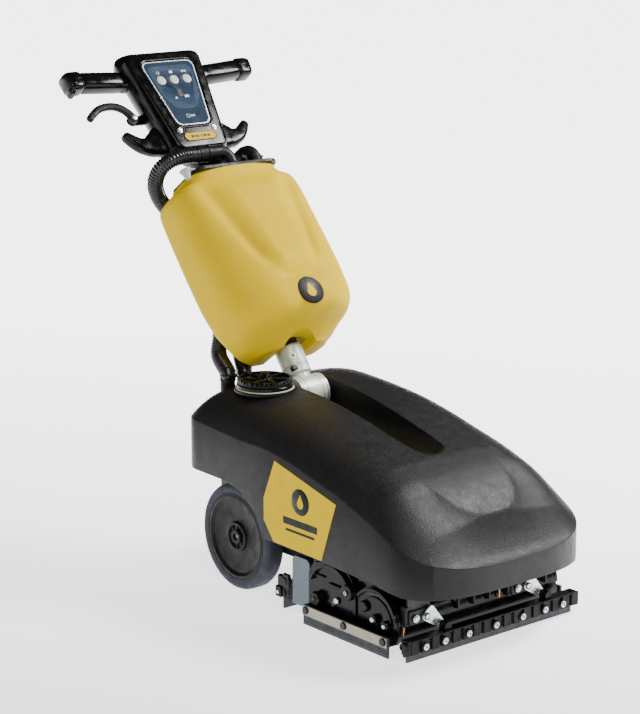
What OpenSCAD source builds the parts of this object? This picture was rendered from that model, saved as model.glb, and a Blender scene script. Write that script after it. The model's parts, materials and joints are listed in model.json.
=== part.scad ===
// Walk-behind cylindrical-brush floor scrubber.
// Machine frame: the front of the machine faces -Y, +Z is up and the operator's right is -X.
// The origin lies on the floor, below the middle of the machine's overall length.

/* [Tank shell] */
// Overall width of the base shell
shell_w = 444; // [400:1:480]
// Distance from the machine reference to the shell's nose
shell_front = 375; // [350:1:410]
// Distance from the machine reference to the shell's rear wall
shell_rear = 372; // [360:1:400]
// Wall thickness of the rotomoulded shell
shell_wall = 5; // [4:0.5:8]
// Height of the ceiling above the drive bay
bay_ceiling = 232; // [228:1:245]
// Height of the top surface at its highest
shell_top = 393; // [385:1:410]
// Radius of the groove that takes the folded column
groove_r = 46; // [44:1:50]

/* [Wheels] */
// Radius of the rear wheels
wheel_r = 108; // [95:1:115]
// Width of a tyre
tyre_w = 42; // [30:1:44]
// Depth of a tyre over its rim
tyre_depth = 20; // [16:1:24]
// Distance from the centre plane to a wheel's outer face
wheel_outer_x = 203; // [190:1:208]
// Distance from the machine reference back to the axle
axle_y = 223; // [215:1:235]
// Radius of the axle
axle_r = 8; // [6:0.5:12]

/* [Brush deck] */
// Radius over the bristles of a brush roller
brush_r = 51.7; // [45:0.1:52]
// Length of a brush roller
brush_len = 340; // [280:1:350]
// Height of the brush axes above the floor
brush_z = 52; // [52:1:56]
// Distance from the machine reference forward to the rear brush axis
rear_brush_y = 80; // [76:1:84]
// Distance between the two brush axes
brush_gap = 125; // [123:1:130]
// Radius inside the brush tunnels
tunnel_r = 60; // [56:1:61]
// Thickness of the deck's walls
deck_wall = 5; // [4:0.5:6]
// Length of the drive bay deck across the machine
deck_len = 392; // [380:1:400]

/* [Squeegees] */
// Length of the front squeegee blade
front_blade_len = 426; // [380:1:440]
// Distance from the machine reference forward to the front blade
front_blade_y = 300; // [296:1:312]
// Length of the rear squeegee blade
rear_blade_len = 400; // [360:1:410]
// Distance from the machine reference back to the rear blade
rear_blade_y = 72; // [68:1:74]
// Thickness of the squeegee rubber
blade_t = 4; // [3:0.5:5]
// Distance between the pivots of a front lift arm, across the machine
lift_arm_dx = 37; // [34:1:44]
// Drop between the pivots of a front lift arm
lift_arm_dz = 23; // [18:1:26]

/* [Column] */
// Distance from the machine reference back to the tilt pivot
pivot_y = 246; // [242:1:250]
// Height of the tilt pivot
pivot_z = 366; // [362:1:372]
// Backward lean of the column at rest, in degrees
column_lean = 36; // [25:1:38]
// Radius of the pivot barrel
barrel_r = 36; // [32:1:38]
// Width of the moving part of the barrel
knuckle_w = 46; // [40:1:50]
// Radius of the tilt pivot pin
pivot_pin_r = 8; // [6:0.5:10]
// Radius of the swivel collar
collar_r = 28.5; // [27:0.5:30]
// Radius of the swivel spigot
spigot_r = 20; // [16:0.5:21]
// Radius of the column tube
tube_r = 24; // [20:0.5:24]

/* [Recovery tank] */
// Half width of the recovery tank at its widest
tank_half_w = 158; // [140:1:165]
// Distance along the column to the tank's rim
tank_rim = 483; // [470:1:500]
// Wall thickness of the recovery tank
tank_wall = 4; // [3:0.5:6]
// Outside radius of a corrugated hose
hose_r = 17; // [14:0.5:18]

/* [Console] */
// Half width of the console at its top
console_top_half = 98; // [90:1:110]
// Half width of the console at its bottom
console_low_half = 64; // [56:1:70]
// Distance along the column to the console's bottom edge
console_low = 572; // [565:1:580]
// Distance along the column to the console's top edge
console_high = 812; // [800:1:830]
// Distance from the centre plane to the end of a grip
grip_end = 240; // [220:1:270]
// Radius of a grip
grip_r = 20; // [16:0.5:22]
// Radius of a push button
button_r = 11; // [8:0.5:13]

/* [Fits] */
// Radial clearance of a shaft that turns in its bore
running_fit = 0.05; // [0.02:0.01:0.09]
// Gap between neighbouring pieces that move
seat_gap = 0.3; // [0.2:0.05:0.6]

/* [Hidden] */
$fn = 48;

origin_shift_y = -199;
half_w = shell_w / 2;
front_brush_y = rear_brush_y + brush_gap;
eps = 0.01;

// Colours
charcoal = [0.17, 0.165, 0.175];
black = [0.06, 0.06, 0.065];
yellow = [0.9, 0.78, 0.2];
zinc = [0.81, 0.86, 0.84];
pale_casting = [0.8, 0.82, 0.78];
tyre_grey = [0.3, 0.31, 0.35];
rubber = [0.17, 0.19, 0.23];
beige = [0.62, 0.59, 0.5];
slate_blue = [0.29, 0.37, 0.42];
steel = [0.6, 0.61, 0.63];

// ---- helpers ----
module place() translate([0, origin_shift_y, 0]) children();
module both_sides() { children(); mirror([1, 0, 0]) children(); }
// A rod along X, centred on x = 0
module rod_x(r, len) rotate([0, 90, 0]) cylinder(r = r, h = len, center = true);
// A rod along Y that starts at y = 0 and runs towards the front
module rod_front(r, len) rotate([90, 0, 0]) cylinder(r = r, h = len);
// A profile drawn in Y and Z, extruded along X about x = 0
module slab_x(len) rotate([90, 0, 90]) linear_extrude(len, center = true) children();
// The column's own frame: Z runs up the column, Y points to its back, from the tilt pivot
module on_column() translate([0, pivot_y, pivot_z]) rotate([-column_lean, 0, 0]) children();

// Catmull-Rom curve through [position, value] pairs in rising order of position
function spline_at(p, i, t) =
    let (a = p[max(i - 1, 0)][1], b = p[i][1], c = p[i + 1][1], d = p[min(i + 2, len(p) - 1)][1])
    0.5 * (2 * b + (c - a) * t + (2 * a - 5 * b + 4 * c - d) * t * t
        + (3 * b - a - 3 * c + d) * t * t * t);
function span_of(p, v, i = 0) = i >= len(p) - 2 || v < p[i + 1][0] ? i : span_of(p, v, i + 1);
function spline(p, v) =
    let (u = min(max(v, p[0][0]), p[len(p) - 1][0]), i = span_of(p, u))
    spline_at(p, i, (u - p[i][0]) / (p[i + 1][0] - p[i][0]));

// ---- base shell ----
// Height of the crease between side wall and shoulder, by distance along the machine
crease_line = [[-375, 178], [-290, 207], [-210, 241], [-118, 274], [68, 314], [190, 319], [372, 332]];
// Height of the crown below the highest point, by distance along the machine
crown_line = [[-375, -206], [-345, -176], [-309, -138], [-230, -97], [-159, -71], [-50, -45],
    [40, -24], [120, -10], [200, -2], [280, 0], [330, -8], [372, -22]];
nose_start = 230;
rear_corner_r = 50;
shoulder_power = 5.5;
spine_front = -230;
spine_rear = 300;
// Outline of the shell in plan, inset by d, as points from the rear round one side to the nose
function nose_half(y, d) =
    let (u = (-y - nose_start) / (shell_front - d - nose_start))
    (half_w - d) * pow(max(0, 1 - pow(max(u, 0), 3)), 1 / 3);
nose_angles = [for (a = [8 : 8 : 88]) a];
function side_plan(d) = concat(
    [[half_w - d - rear_corner_r, shell_rear - d]],
    [for (a = [60 : -30 : 0])
        [half_w - d - rear_corner_r + rear_corner_r * cos(a),
         shell_rear - d - rear_corner_r + rear_corner_r * sin(a)]],
    [for (y = [260 : -49 : -nose_start]) [half_w - d, y]],
    [for (a = nose_angles)
        let (y = -nose_start - (shell_front - d - nose_start) * pow(sin(a), 2 / 3))
        [nose_half(y, d), y]]);
function reversed(v) = [for (i = [len(v) - 1 : -1 : 0]) v[i]];
function plan_loop(d) = let (s = side_plan(d)) concat(
    s, [[0, -shell_front + d]], reversed([for (p = s) [-p[0], p[1]]]), [[0, shell_rear - d]]);
function spine_point(p) = [0, min(max(p[1], spine_front), spine_rear)];
function shell_height(y, u, d) =
    let (c = spline(crease_line, y), t = shell_top + spline(crown_line, y))
    c + (t - c) * (1 - pow(u, shoulder_power)) - d;
shell_steps = [1, 0.97, 0.92, 0.84, 0.72, 0.5, 0.2];
function shell_ring(d, u) = [for (p = plan_loop(d))
    let (s = spine_point(p), y = s[1] + (p[1] - s[1]) * u)
    [p[0] * u, y, shell_height(y, u, d)]];
// Faces between two neighbouring rings of n points, the first ring starting at point a
function band_faces(a, n) = [for (i = [0 : n - 1], half = [0, 1])
    let (j = (i + 1) % n)
    half == 0 ? [a + i, a + j, a + n + j] : [a + i, a + n + j, a + n + i]];
// Closed form of the shell, inset by d, with its flat underside at height low
module shell_form(d, low) {
    loop = plan_loop(d);
    n = len(loop);
    rings = concat([[for (p = loop) [p[0], p[1], low]]], [for (u = shell_steps) shell_ring(d, u)]);
    top = (len(rings) - 1) * n;
    polyhedron(
        points = [for (r = rings) for (p = r) p],
        faces = concat([[for (i = [n - 1 : -1 : 0]) i]],
            [for (k = [0 : len(rings) - 2]) for (f = band_faces(k * n, n)) f],
            [for (i = [0 : n / 2 - 2], half = [0, 1])
                half == 0 ? [top + i, top + i + 1, top + n - 3 - i]
                    : [top + i, top + n - 3 - i, top + n - 2 - i]],
            [[top + n - 1, top, top + n - 2]]));
}
// Boat-shaped valley in the top of the shell, grown by d, for the column when it folds forward
groove_front_y = -118;
groove_front_r = 38;
module groove(d) {
    hull() for (lift = [0, 120]) {
        translate([0, pivot_y, 354 + lift]) sphere(groove_r + d, $fn = 32);
        translate([0, groove_front_y, 346 + lift]) sphere(groove_front_r + d, $fn = 32);
    }
    hull() for (lift = [0, 120]) {
        translate([0, pivot_y, 354 + lift]) sphere(groove_r + d, $fn = 32);
        translate([0, pivot_y + 100, 410 + lift]) sphere(groove_r + d, $fn = 32);
    }
}
arch_gap = 8;
skirt_front_z = 122;
skirt_side_z = 137;
arch_front_y = axle_y - 112;
arch_shoulder_y = axle_y - 60;
// Everything below the shell's lower edge, seen from the side
module below_skirt() {
    slab_x(2 * shell_w) difference() {
        polygon([[-500, 0], [-500, 134], [-330, skirt_front_z], [-290, skirt_front_z], [-222, 130],
            [-36, skirt_side_z], [arch_front_y, skirt_side_z + 2], [arch_shoulder_y, 205],
            [axle_y, bay_ceiling - 5], [500, bay_ceiling], [500, 0]]);
        polygon([[arch_front_y, 400], [arch_front_y, skirt_side_z + 2], [arch_shoulder_y, 205],
            [axle_y, bay_ceiling - 5], [axle_y, 400]]);
    }
    translate([0, axle_y, wheel_r]) rod_x(wheel_r + arch_gap, 2 * shell_w);
}
neck_x = -104;
neck_y = 248;
neck_z = 390;
neck_bore_r = 48;
// The clevis stem passes through a dry sleeve in the tank
stem_w = 68;
stem_d = 50;
stem_gap = 0.5;
module stem_passage(grow) translate([0, pivot_y, 0])
    linear_extrude(700) square([stem_w + 2 * grow, stem_d + 2 * grow], center = true);
hose_socket_x = [-118, -76];
hose_socket_y = 352;
hose_socket_r = 15;
socket_top = bay_ceiling + 160;
module solution_tank() color(charcoal) difference() {
    shell_form(0, 100);
    below_skirt();
    groove(0);
    intersection() {
        shell_form(shell_wall, 90);
        translate([-500, -500, 0]) cube([1000, 1000, bay_ceiling]);
    }
    difference() {
        intersection() {
            shell_form(shell_wall, 90);
            translate([-500, -500, bay_ceiling + shell_wall]) cube([1000, 1000, 300]);
        }
        groove(shell_wall);
        stem_passage(shell_wall);
        for (x = hose_socket_x) translate([x, hose_socket_y, bay_ceiling - 20])
            cylinder(r = hose_socket_r + shell_wall, h = 200);
    }
    stem_passage(stem_gap);
    translate([neck_x, neck_y, 340]) cylinder(r = neck_bore_r, h = 100);
    for (x = hose_socket_x) translate([x, hose_socket_y, bay_ceiling - 20])
        cylinder(r = hose_socket_r + running_fit, h = 200);
}
label_t = 0.8;
module side_labels() color(yellow) both_sides() translate([-half_w - seat_gap / 3 - label_t, 0, 0])
    rotate([90, 0, 90]) linear_extrude(label_t)
        polygon([[70, 303], [-112, 258], [-70, 138], [74, 140], [104, 178], [104, 222]]);

// ---- fill neck and cap ----
neck_h = 14;
neck_wall = 8;
flange_top = neck_z + 4;
gasket_t = 2;
module fill_neck() color(black) translate([neck_x, neck_y, 0]) {
    difference() {
        union() {
            translate([0, 0, neck_z - 12]) cylinder(r = neck_bore_r, h = neck_h + 12);
            translate([0, 0, flange_top - 5]) cylinder(r = neck_bore_r + 14, h = 5);
        }
        translate([0, 0, neck_z - 20]) cylinder(r = neck_bore_r - neck_wall, h = 60);
    }
}
cap_r = 57;
module cap_gasket() color([0.85, 0.83, 0.7]) translate([neck_x, neck_y, flange_top + seat_gap])
    difference() {
        cylinder(r = cap_r + 1, h = gasket_t);
        translate([0, 0, -1]) cylinder(r = neck_bore_r + seat_gap, h = gasket_t + 2);
    }
cap_low = flange_top + gasket_t + 2 * seat_gap;
module fill_cap() color(black) translate([neck_x, neck_y, cap_low]) {
    difference() {
        union() {
            cylinder(r = cap_r, h = 7);
            cylinder(r = cap_r - 3, h = 19);
        }
        translate([0, 0, -1]) cylinder(r = neck_bore_r + seat_gap,
            h = neck_z + neck_h + seat_gap - cap_low + 1);
        // recessed top, crossed by three spokes
        difference() {
            translate([0, 0, 13]) cylinder(r = cap_r - 9, h = 10);
            for (a = [0 : 60 : 120]) rotate([0, 0, a]) translate([-cap_r, -5, 0]) cube([2 * cap_r, 10, 17]);
            cylinder(r = 13, h = 19);
        }
    }
    translate([0, 0, 18]) cylinder(r = 9, h = 10);
}

// ---- chassis and drive ----
deck_top = 134;
frame_t = 4;
rear_plate_z = 86;
rear_plate_half = 150;
rear_plate_end = 336;
module chassis() color(black) difference() {
    union() {
        translate([-185, lug_y, deck_top]) cube([370, 20 - lug_y, frame_t]);
        translate([-185, 20 - frame_t, rear_plate_z]) cube([370, frame_t, deck_top - rear_plate_z + 1]);
        translate([-rear_plate_half, 20 - frame_t, rear_plate_z])
            cube([2 * rear_plate_half, rear_plate_end - 20 + frame_t, frame_t]);
        // walls of the battery tub, which carry the axle and the ceiling of the shell
        both_sides() translate([rear_plate_half - frame_t, 20 - frame_t, rear_plate_z])
            cube([frame_t, rear_plate_end - 20 + frame_t, bay_ceiling - rear_plate_z]);
        translate([-rear_plate_half, rear_plate_end - frame_t, rear_plate_z])
            cube([2 * rear_plate_half, frame_t, bay_ceiling - rear_plate_z]);
    }
    translate([0, axle_y, wheel_r]) rod_x(axle_r, 400);
    belt_bay();
}
// Lugs below the chassis: two in front for the lift linkage, two behind for the squeegee arms
front_lug_w = 54;
rear_lug_x = 118;
module chassis_lugs() color(black) difference() {
    union() {
        for (x = link_x) translate([x - front_lug_w / 2, lug_y, link_low])
            cube([front_lug_w, frame_t, deck_top - link_low]);
        both_sides() translate([rear_lug_x, rear_pivot_y - 9, rear_pivot_z - 9])
            cube([8, 18, rear_plate_z - rear_pivot_z + 9]);
    }
    translate([0, rear_pivot_y, rear_pivot_z]) rod_x(rear_pivot_r + running_fit, 400);
}
ear_t = 11;
module pivot_clevis() color(pale_casting) difference() {
    union() {
        both_sides() translate([knuckle_w / 2 + seat_gap, pivot_y, pivot_z]) {
            rotate([0, 90, 0]) cylinder(r = barrel_r, h = ear_t);
            translate([0, -stem_d / 2, -barrel_r - 2]) cube([ear_t, stem_d, barrel_r + 2]);
        }
        translate([-stem_w / 2, pivot_y - stem_d / 2, rear_plate_z + frame_t])
            cube([stem_w, stem_d, pivot_z - barrel_r - 1 - rear_plate_z - frame_t]);
    }
    translate([0, pivot_y, pivot_z]) rod_x(pivot_pin_r, 100);
    translate([0, axle_y, wheel_r]) rod_x(axle_r, 100);
    translate([-stem_w / 2 + 6, pivot_y - stem_d / 2 + 6, 60])
        cube([stem_w - 12, stem_d - 12, pivot_z - barrel_r - 20 - 60]);
}
module pivot_pin() color(steel) translate([0, pivot_y, pivot_z])
    rod_x(pivot_pin_r, knuckle_w + 2 * seat_gap + 2 * ear_t);
module wheel_axle() color(steel) translate([0, axle_y, wheel_r])
    rod_x(axle_r, 2 * wheel_outer_x - 12);
battery_size = [138, 150, 118];
module batteries() color([0.25, 0.25, 0.27]) both_sides() {
    translate([3, 42, rear_plate_z + frame_t]) cube(battery_size);
    translate([24, 70, rear_plate_z + frame_t + battery_size[2]]) cylinder(r = 7, h = 8);
    translate([120, 70, rear_plate_z + frame_t + battery_size[2]]) cylinder(r = 7, h = 8);
}
motor_y = -28;
motor_z = 178;
motor_r = 36;
shaft_r = 6;
module brush_motor() color([0.35, 0.35, 0.37]) translate([0, motor_y, motor_z]) {
    translate([78, 0, 0]) rod_x(motor_r, 150);
    translate([10, -25, deck_top + frame_t - motor_z]) cube([120, 50, 12]);
    translate([168, 0, 0]) rod_x(shaft_r, 40);
}
module suction_motor() color([0.2, 0.2, 0.22]) translate([-70, -95, deck_top + frame_t]) {
    cylinder(r = 66, h = 36);
    cylinder(r = 44, h = 86);
}
module water_pump() color([0.25, 0.3, 0.35]) translate([-120, -232, deck_top + frame_t]) {
    cube([80, 46, 34]);
    translate([12, -22, 17]) rod_x(8, 24);
    translate([0, -22, 9]) cube([24, 24, 16]);
}
module hose_sockets() color(black) for (x = hose_socket_x)
    translate([x, hose_socket_y, bay_ceiling - 12]) difference() {
        cylinder(r = hose_socket_r, h = socket_top - bay_ceiling + 12);
        translate([0, 0, -1]) cylinder(r = hose_socket_r - 3, h = 240);
    }

// ---- brush deck ----
module tunnel_profile(r) {
    for (y = [-rear_brush_y, -front_brush_y]) translate([y, brush_z]) circle(r, $fn = 64);
}
deck_low = 14;
module deck_body() slab_x(deck_len) difference() {
    union() {
        tunnel_profile(tunnel_r + deck_wall);
        translate([-front_brush_y, brush_z]) square([brush_gap, deck_top - brush_z]);
        translate([-rear_brush_y, deck_low]) square([tunnel_r + deck_wall, deck_top - deck_low]);
    }
    tunnel_profile(tunnel_r);
    for (y = [-rear_brush_y, -front_brush_y]) translate([y - tunnel_r, -50])
        square([2 * tunnel_r, 50 + brush_z]);
    translate([-500, -10]) square([1000, deck_low + 10]);
}
module brush_deck() color(black) difference() {
    deck_body();
    belt_bay();
}
plate_in = deck_len / 2;
plate_t = 8;
boss_r = 15;
knob_y = -43;
knob_z = 54;
flange_low = 20;
flange_high = 39;
module end_plate_profile() {
    difference() {
        union() {
            polygon([[-10, 20], [-10, 98], [-28, 122], [-76, 130], [-127, 122], [-150, 98],
                [-192, 97], [-229, 92], [-250, 73], [-262, 50], [-255, 20]]);
            translate([-front_brush_y, brush_z]) circle(tunnel_r + deck_wall);
        }
        translate([-500, -480]) square([1000, 500]);
    }
}
module end_plates() color(black) both_sides() difference() {
    union() {
        translate([plate_in + seat_gap, 0, 0]) rotate([90, 0, 90])
            linear_extrude(plate_t) end_plate_profile();
        translate([plate_in + plate_t, -134, 90]) rotate([0, 90, 0]) cylinder(r = boss_r, h = 12);
        translate([plate_in + plate_t, -206, 57]) rotate([0, 90, 0]) cylinder(r = 9, h = 9);
        translate([plate_in + plate_t, -260, flange_low])
            cube([blade_x - plate_in - plate_t, 240, flange_high - flange_low]);
    }
    for (y = [-rear_brush_y, -front_brush_y]) translate([0, y, brush_z])
        rod_x(shaft_r + running_fit, 500);
    translate([0, knob_y, knob_z]) rod_x(4 + running_fit, 500);
    for (y = strip_screw_y) translate([0, y, strip_screw_z]) rod_x(strip_screw_r, 600);
}
panel_t = 13;
module deck_panels() color(slate_blue) both_sides() translate([plate_in + 6 - panel_t, 0, 0])
    rotate([90, 0, 90]) linear_extrude(panel_t) union() {
        translate([-9.7, 20]) square([52, 86]);
        translate([2.3, 106]) circle(12);
        translate([30.3, 106]) circle(12);
        translate([2.3, 106]) square([28, 12]);
    }
strip_screw_y = [-30, -141, -252];
strip_screw_z = 30;
strip_screw_r = 3;
strip_t = 2.5;
blade_x = plate_in + 26;
strip_x = blade_x + blade_t;
strip_end_x = strip_x + strip_t;
module side_blade_strips() color(beige) both_sides() difference() {
    translate([strip_x, -262, flange_low]) cube([strip_t, 242, flange_high - flange_low]);
    for (y = strip_screw_y) translate([0, y, strip_screw_z]) rod_x(strip_screw_r, 600);
}
module side_blades() color(rubber) both_sides() difference() {
    translate([blade_x, -264, 0]) cube([blade_t, 244, flange_high]);
    for (y = strip_screw_y) translate([0, y, strip_screw_z]) rod_x(strip_screw_r, 600);
}
module deck_screws() color([0.2, 0.2, 0.2]) both_sides() {
    for (y = strip_screw_y) translate([plate_in + 12, y, strip_screw_z]) rotate([0, 90, 0]) {
        cylinder(r = strip_screw_r, h = strip_end_x - plate_in - 12);
        translate([0, 0, strip_end_x - plate_in - 12]) cylinder(r = 7, h = 3);
    }
    translate([plate_in + plate_t + 12, -134, 90]) rotate([0, 90, 0]) cylinder(r = 5, h = 3);
    translate([plate_in + plate_t + seat_gap, -96, 62]) rotate([0, 90, 0]) cylinder(r = 7, h = 3);
}
module brush_knobs() color(black) both_sides() {
    translate([plate_in - 6, knob_y, knob_z]) rotate([0, 90, 0]) cylinder(r = 4, h = 20);
    translate([plate_in + plate_t + 2 * seat_gap, knob_y, knob_z]) rotate([0, 90, 0]) difference() {
        cylinder(r = 13, h = 14);
        for (a = [0 : 60 : 300]) rotate([0, 0, a]) translate([15, 0, 3]) cylinder(r = 4, h = 20);
    }
}

// ---- brush rollers and belt drive ----
pulley_r = 22;
pulley_w = 14;
belt_x = 178;
belt_t = 3;
// The belt wraps the motor pulley and both brush pulleys on its inner face
belt_nodes = [[motor_y, motor_z], [-rear_brush_y, brush_z], [-front_brush_y, brush_z]];
module belt_outline(r) hull() for (p = belt_nodes) translate(p) circle(r, $fn = 48);
belt_room = 6;
module belt_bay() translate([belt_x, 0, 0]) slab_x(pulley_w + 6)
    belt_outline(pulley_r + belt_t + belt_room);
module brush_belt() color([0.12, 0.12, 0.13]) translate([belt_x, 0, 0]) slab_x(pulley_w - 4)
    difference() {
        belt_outline(pulley_r + seat_gap + belt_t);
        belt_outline(pulley_r + seat_gap);
    }
module pulley(p) color([0.7, 0.7, 0.72]) translate([belt_x, p[0], p[1]]) difference() {
    rod_x(pulley_r, pulley_w);
    rod_x(shaft_r + running_fit, 60);
}
module motor_pulley() pulley(belt_nodes[0]);
module brush_core(y) color([0.55, 0.57, 0.6]) translate([0, y, brush_z]) {
    translate([-4, 0, 0]) rod_x(28, brush_len);
    rod_x(shaft_r, 2 * plate_in + 14);
    translate([belt_x, 0, 0]) rod_x(pulley_r, pulley_w - 1);
}
row_count = 12;
module bristles(y) color([0.2, 0.32, 0.55]) translate([-4, y, brush_z]) difference() {
    union() {
        rod_x(41, brush_len - 16);
        for (i = [0 : row_count - 1]) rotate([i * 360 / row_count, 0, 0])
            translate([-brush_len / 2 + 8, -5, 38])
                cube([brush_len - 16, 10, brush_r - 38]);
    }
    rod_x(28, brush_len);
}
module front_brush_core() brush_core(-front_brush_y);
module rear_brush_core() brush_core(-rear_brush_y);
module front_brush_bristles() bristles(-front_brush_y);
module rear_brush_bristles() bristles(-rear_brush_y);

// ---- wheels ----
rim_r = wheel_r - tyre_depth;
tread_round = 6;
module tyre() color(tyre_grey) translate([wheel_outer_x - tyre_w, axle_y, wheel_r])
    rotate([0, 90, 0]) rotate_extrude($fn = 96) polygon([[rim_r, 0], [wheel_r - tread_round, 0],
        [wheel_r - 2, 2], [wheel_r, tread_round], [wheel_r, tyre_w - tread_round],
        [wheel_r - 2, tyre_w - 2], [wheel_r - tread_round, tyre_w], [rim_r, tyre_w]]);
module hub() color(black) translate([wheel_outer_x - tyre_w, axle_y, wheel_r]) rotate([0, 90, 0])
    difference() {
        rotate_extrude($fn = 96) polygon([[axle_r + running_fit, 2], [24, 2], [24, 16], [rim_r - 10, 18],
            [rim_r - 10, 4], [rim_r, 0], [rim_r, tyre_w], [rim_r - 8, tyre_w],
            [rim_r - 16, tyre_w - 7],
            [26, tyre_w - 11], [26, tyre_w - 3], [16, tyre_w - 1], [14, tyre_w - 8],
            [axle_r + running_fit, tyre_w - 8]]);
    }
module left_tyre() tyre();
module left_hub() hub();
module right_tyre() mirror([1, 0, 0]) tyre();
module right_hub() mirror([1, 0, 0]) hub();

// ---- squeegees ----
link_x = [-163, 98];
link_z = 72;
link_low = 60;
lug_y = -278;
link_t = 4;
pin_r = 4;
arm_upper_x = [-151, 110];
arm_y = lug_y - link_t - 0.5;
arm_t = 4;
bar_back_y = arm_y - arm_t - 2;
module front_link_plates() color(black) for (i = [0, 1]) {
    difference() {
        translate([link_x[i] - 25, lug_y - link_t, link_low]) cube([50, link_t, 25]);
        translate([arm_upper_x[i], lug_y + 1, link_z]) rod_front(pin_r, 20);
    }
    // pivot bolt of the lift arm, and the second bolt of the plate
    translate([arm_upper_x[i], lug_y, link_z]) rod_front(pin_r, link_t + arm_t + 1.5);
    translate([arm_upper_x[i], arm_y - arm_t - 0.5, link_z]) rod_front(7, 3);
    translate([arm_upper_x[i] - 25, lug_y - link_t, link_z]) rod_front(7, 4);
}
module lift_arm(i, lower_clear) color(zinc)
    translate([arm_upper_x[i], arm_y, link_z]) rotate([90, 0, 0]) difference() {
        linear_extrude(arm_t) hull() {
            circle(9, $fn = 32);
            translate([lift_arm_dx, -lift_arm_dz]) circle(8, $fn = 32);
            translate([12, 12]) circle(6, $fn = 32);
        }
        translate([0, 0, -1]) cylinder(r = pin_r + running_fit, h = arm_t + 2);
        translate([lift_arm_dx, -lift_arm_dz, -1]) cylinder(r = pin_r + lower_clear, h = arm_t + 2);
    }
module front_arm_right() lift_arm(0, running_fit);
module front_arm_left() lift_arm(1, seat_gap);
bar_half = 215;
bar_low = 16;
bar_high = 42;
bar_front_y = -front_blade_y - 12;
bolt_x = [-178, -130, -70, 0, 70, 130, 178];
bolt_z = 27;
bolt_r = 2.5;
bar_lug_r = 8;
blade_slot_top = bolt_z + 9;
rib_pitch = 26;
module front_squeegee_bar() color(black) difference() {
    union() {
        translate([-bar_half, bar_front_y + 4, bar_low])
            cube([2 * bar_half, bar_back_y - bar_front_y - 4, bar_high - bar_low]);
        for (x = [-bar_half + 4 : rib_pitch : bar_half - 8]) translate([x, bar_front_y, bar_low])
            cube([rib_pitch - 8, 5, bar_high - bar_low]);
        for (i = [0, 1]) translate([arm_upper_x[i] + lift_arm_dx, 0, link_z - lift_arm_dz]) {
            translate([0, arm_y + 1, 0]) rod_front(pin_r, arm_y - bar_back_y + 2);
            // lug round the pin
            translate([-bar_lug_r, bar_front_y + 6, bar_low - link_z + lift_arm_dz])
                cube([2 * bar_lug_r, bar_back_y - bar_front_y - 6, link_z - lift_arm_dz - bar_low]);
            translate([0, bar_back_y, 0]) rod_front(bar_lug_r, bar_back_y - bar_front_y - 6);
        }
        // end pegs
        for (sx = [-1, 1]) translate([sx * (bar_half + 4), bar_front_y + 10, bar_high - 9]) rod_x(8, 12);
    }
    translate([-500, -front_blade_y - blade_t / 2, 0]) cube([1000, blade_t, blade_slot_top]);
    for (x = bolt_x) translate([x, 0, bolt_z]) rod_front(bolt_r, 600);
}
module front_squeegee_blade() color(rubber) difference() {
    translate([-front_blade_len / 2, -front_blade_y - blade_t / 2, 0])
        cube([front_blade_len, blade_t, blade_slot_top]);
    for (x = bolt_x) translate([x, 0, bolt_z]) rod_front(bolt_r, 600);
}
module front_squeegee_bolts() color(zinc) for (x = bolt_x) translate([x, 0, bolt_z]) {
    translate([0, bar_back_y, 0]) rod_front(bolt_r, bar_back_y - bar_front_y);
    translate([0, bar_front_y, 0]) rod_front(6, 3);
}
rear_pivot_y = 36;
rear_pivot_z = 74;
rear_pivot_r = 5;
rear_half = 198;
rear_bar_low = 22;
rear_bar_high = 50;
rear_arm_x = 108;
rear_arm_t = 7;
module rear_squeegee_arms() color(black) {
    both_sides() translate([rear_arm_x, 0, 0]) rotate([90, 0, 90]) linear_extrude(rear_arm_t) hull() {
        translate([rear_pivot_y, rear_pivot_z]) circle(9, $fn = 32);
        translate([rear_blade_y - 20, 42]) circle(8, $fn = 32);
    }
    translate([0, rear_pivot_y, rear_pivot_z]) rod_x(rear_pivot_r, 256);
}
module rear_squeegee_bar() color(black) difference() {
    union() {
        translate([-rear_half, rear_blade_y - 12, rear_bar_low])
            cube([2 * rear_half, 24, rear_bar_high - rear_bar_low]);
        both_sides() translate([rear_half, rear_blade_y, 32]) rod_x(9, 12);
    }
    translate([-500, rear_blade_y - blade_t / 2, 0]) cube([1000, blade_t, rear_bar_high - 6]);
}
module rear_squeegee_blade() color(rubber) translate([-rear_blade_len / 2, rear_blade_y - blade_t / 2, 0])
    cube([rear_blade_len, blade_t, rear_bar_high - 6]);

// ---- tilting column ----
neck_low = 40;
neck_high = 52.7;
spigot_end = 95;
collar_low = neck_high + seat_gap;
collar_high = 100;
module column_knuckle() color(pale_casting) on_column() difference() {
    union() {
        rod_x(barrel_r, knuckle_w);
        cylinder(r = knuckle_w / 2 - 0.5, h = neck_low + 2);
        translate([0, 0, neck_low]) cylinder(r = collar_r, h = neck_high - neck_low);
        cylinder(r = spigot_r, h = spigot_end);
    }
    rod_x(pivot_pin_r + running_fit, 100);
}
module swivel_collar() color(pale_casting) on_column() difference() {
    translate([0, 0, collar_low]) cylinder(r = collar_r, h = collar_high - collar_low);
    cylinder(r = spigot_r + running_fit, h = spigot_end + 1);
}
tube_end = 556;
module column_tube() color(black) on_column() difference() {
    translate([0, 0, collar_high]) cylinder(r = tube_r, h = tube_end - collar_high);
    translate([0, 0, collar_high + 4]) cylinder(r = tube_r - 3, h = tube_end);
}

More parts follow.
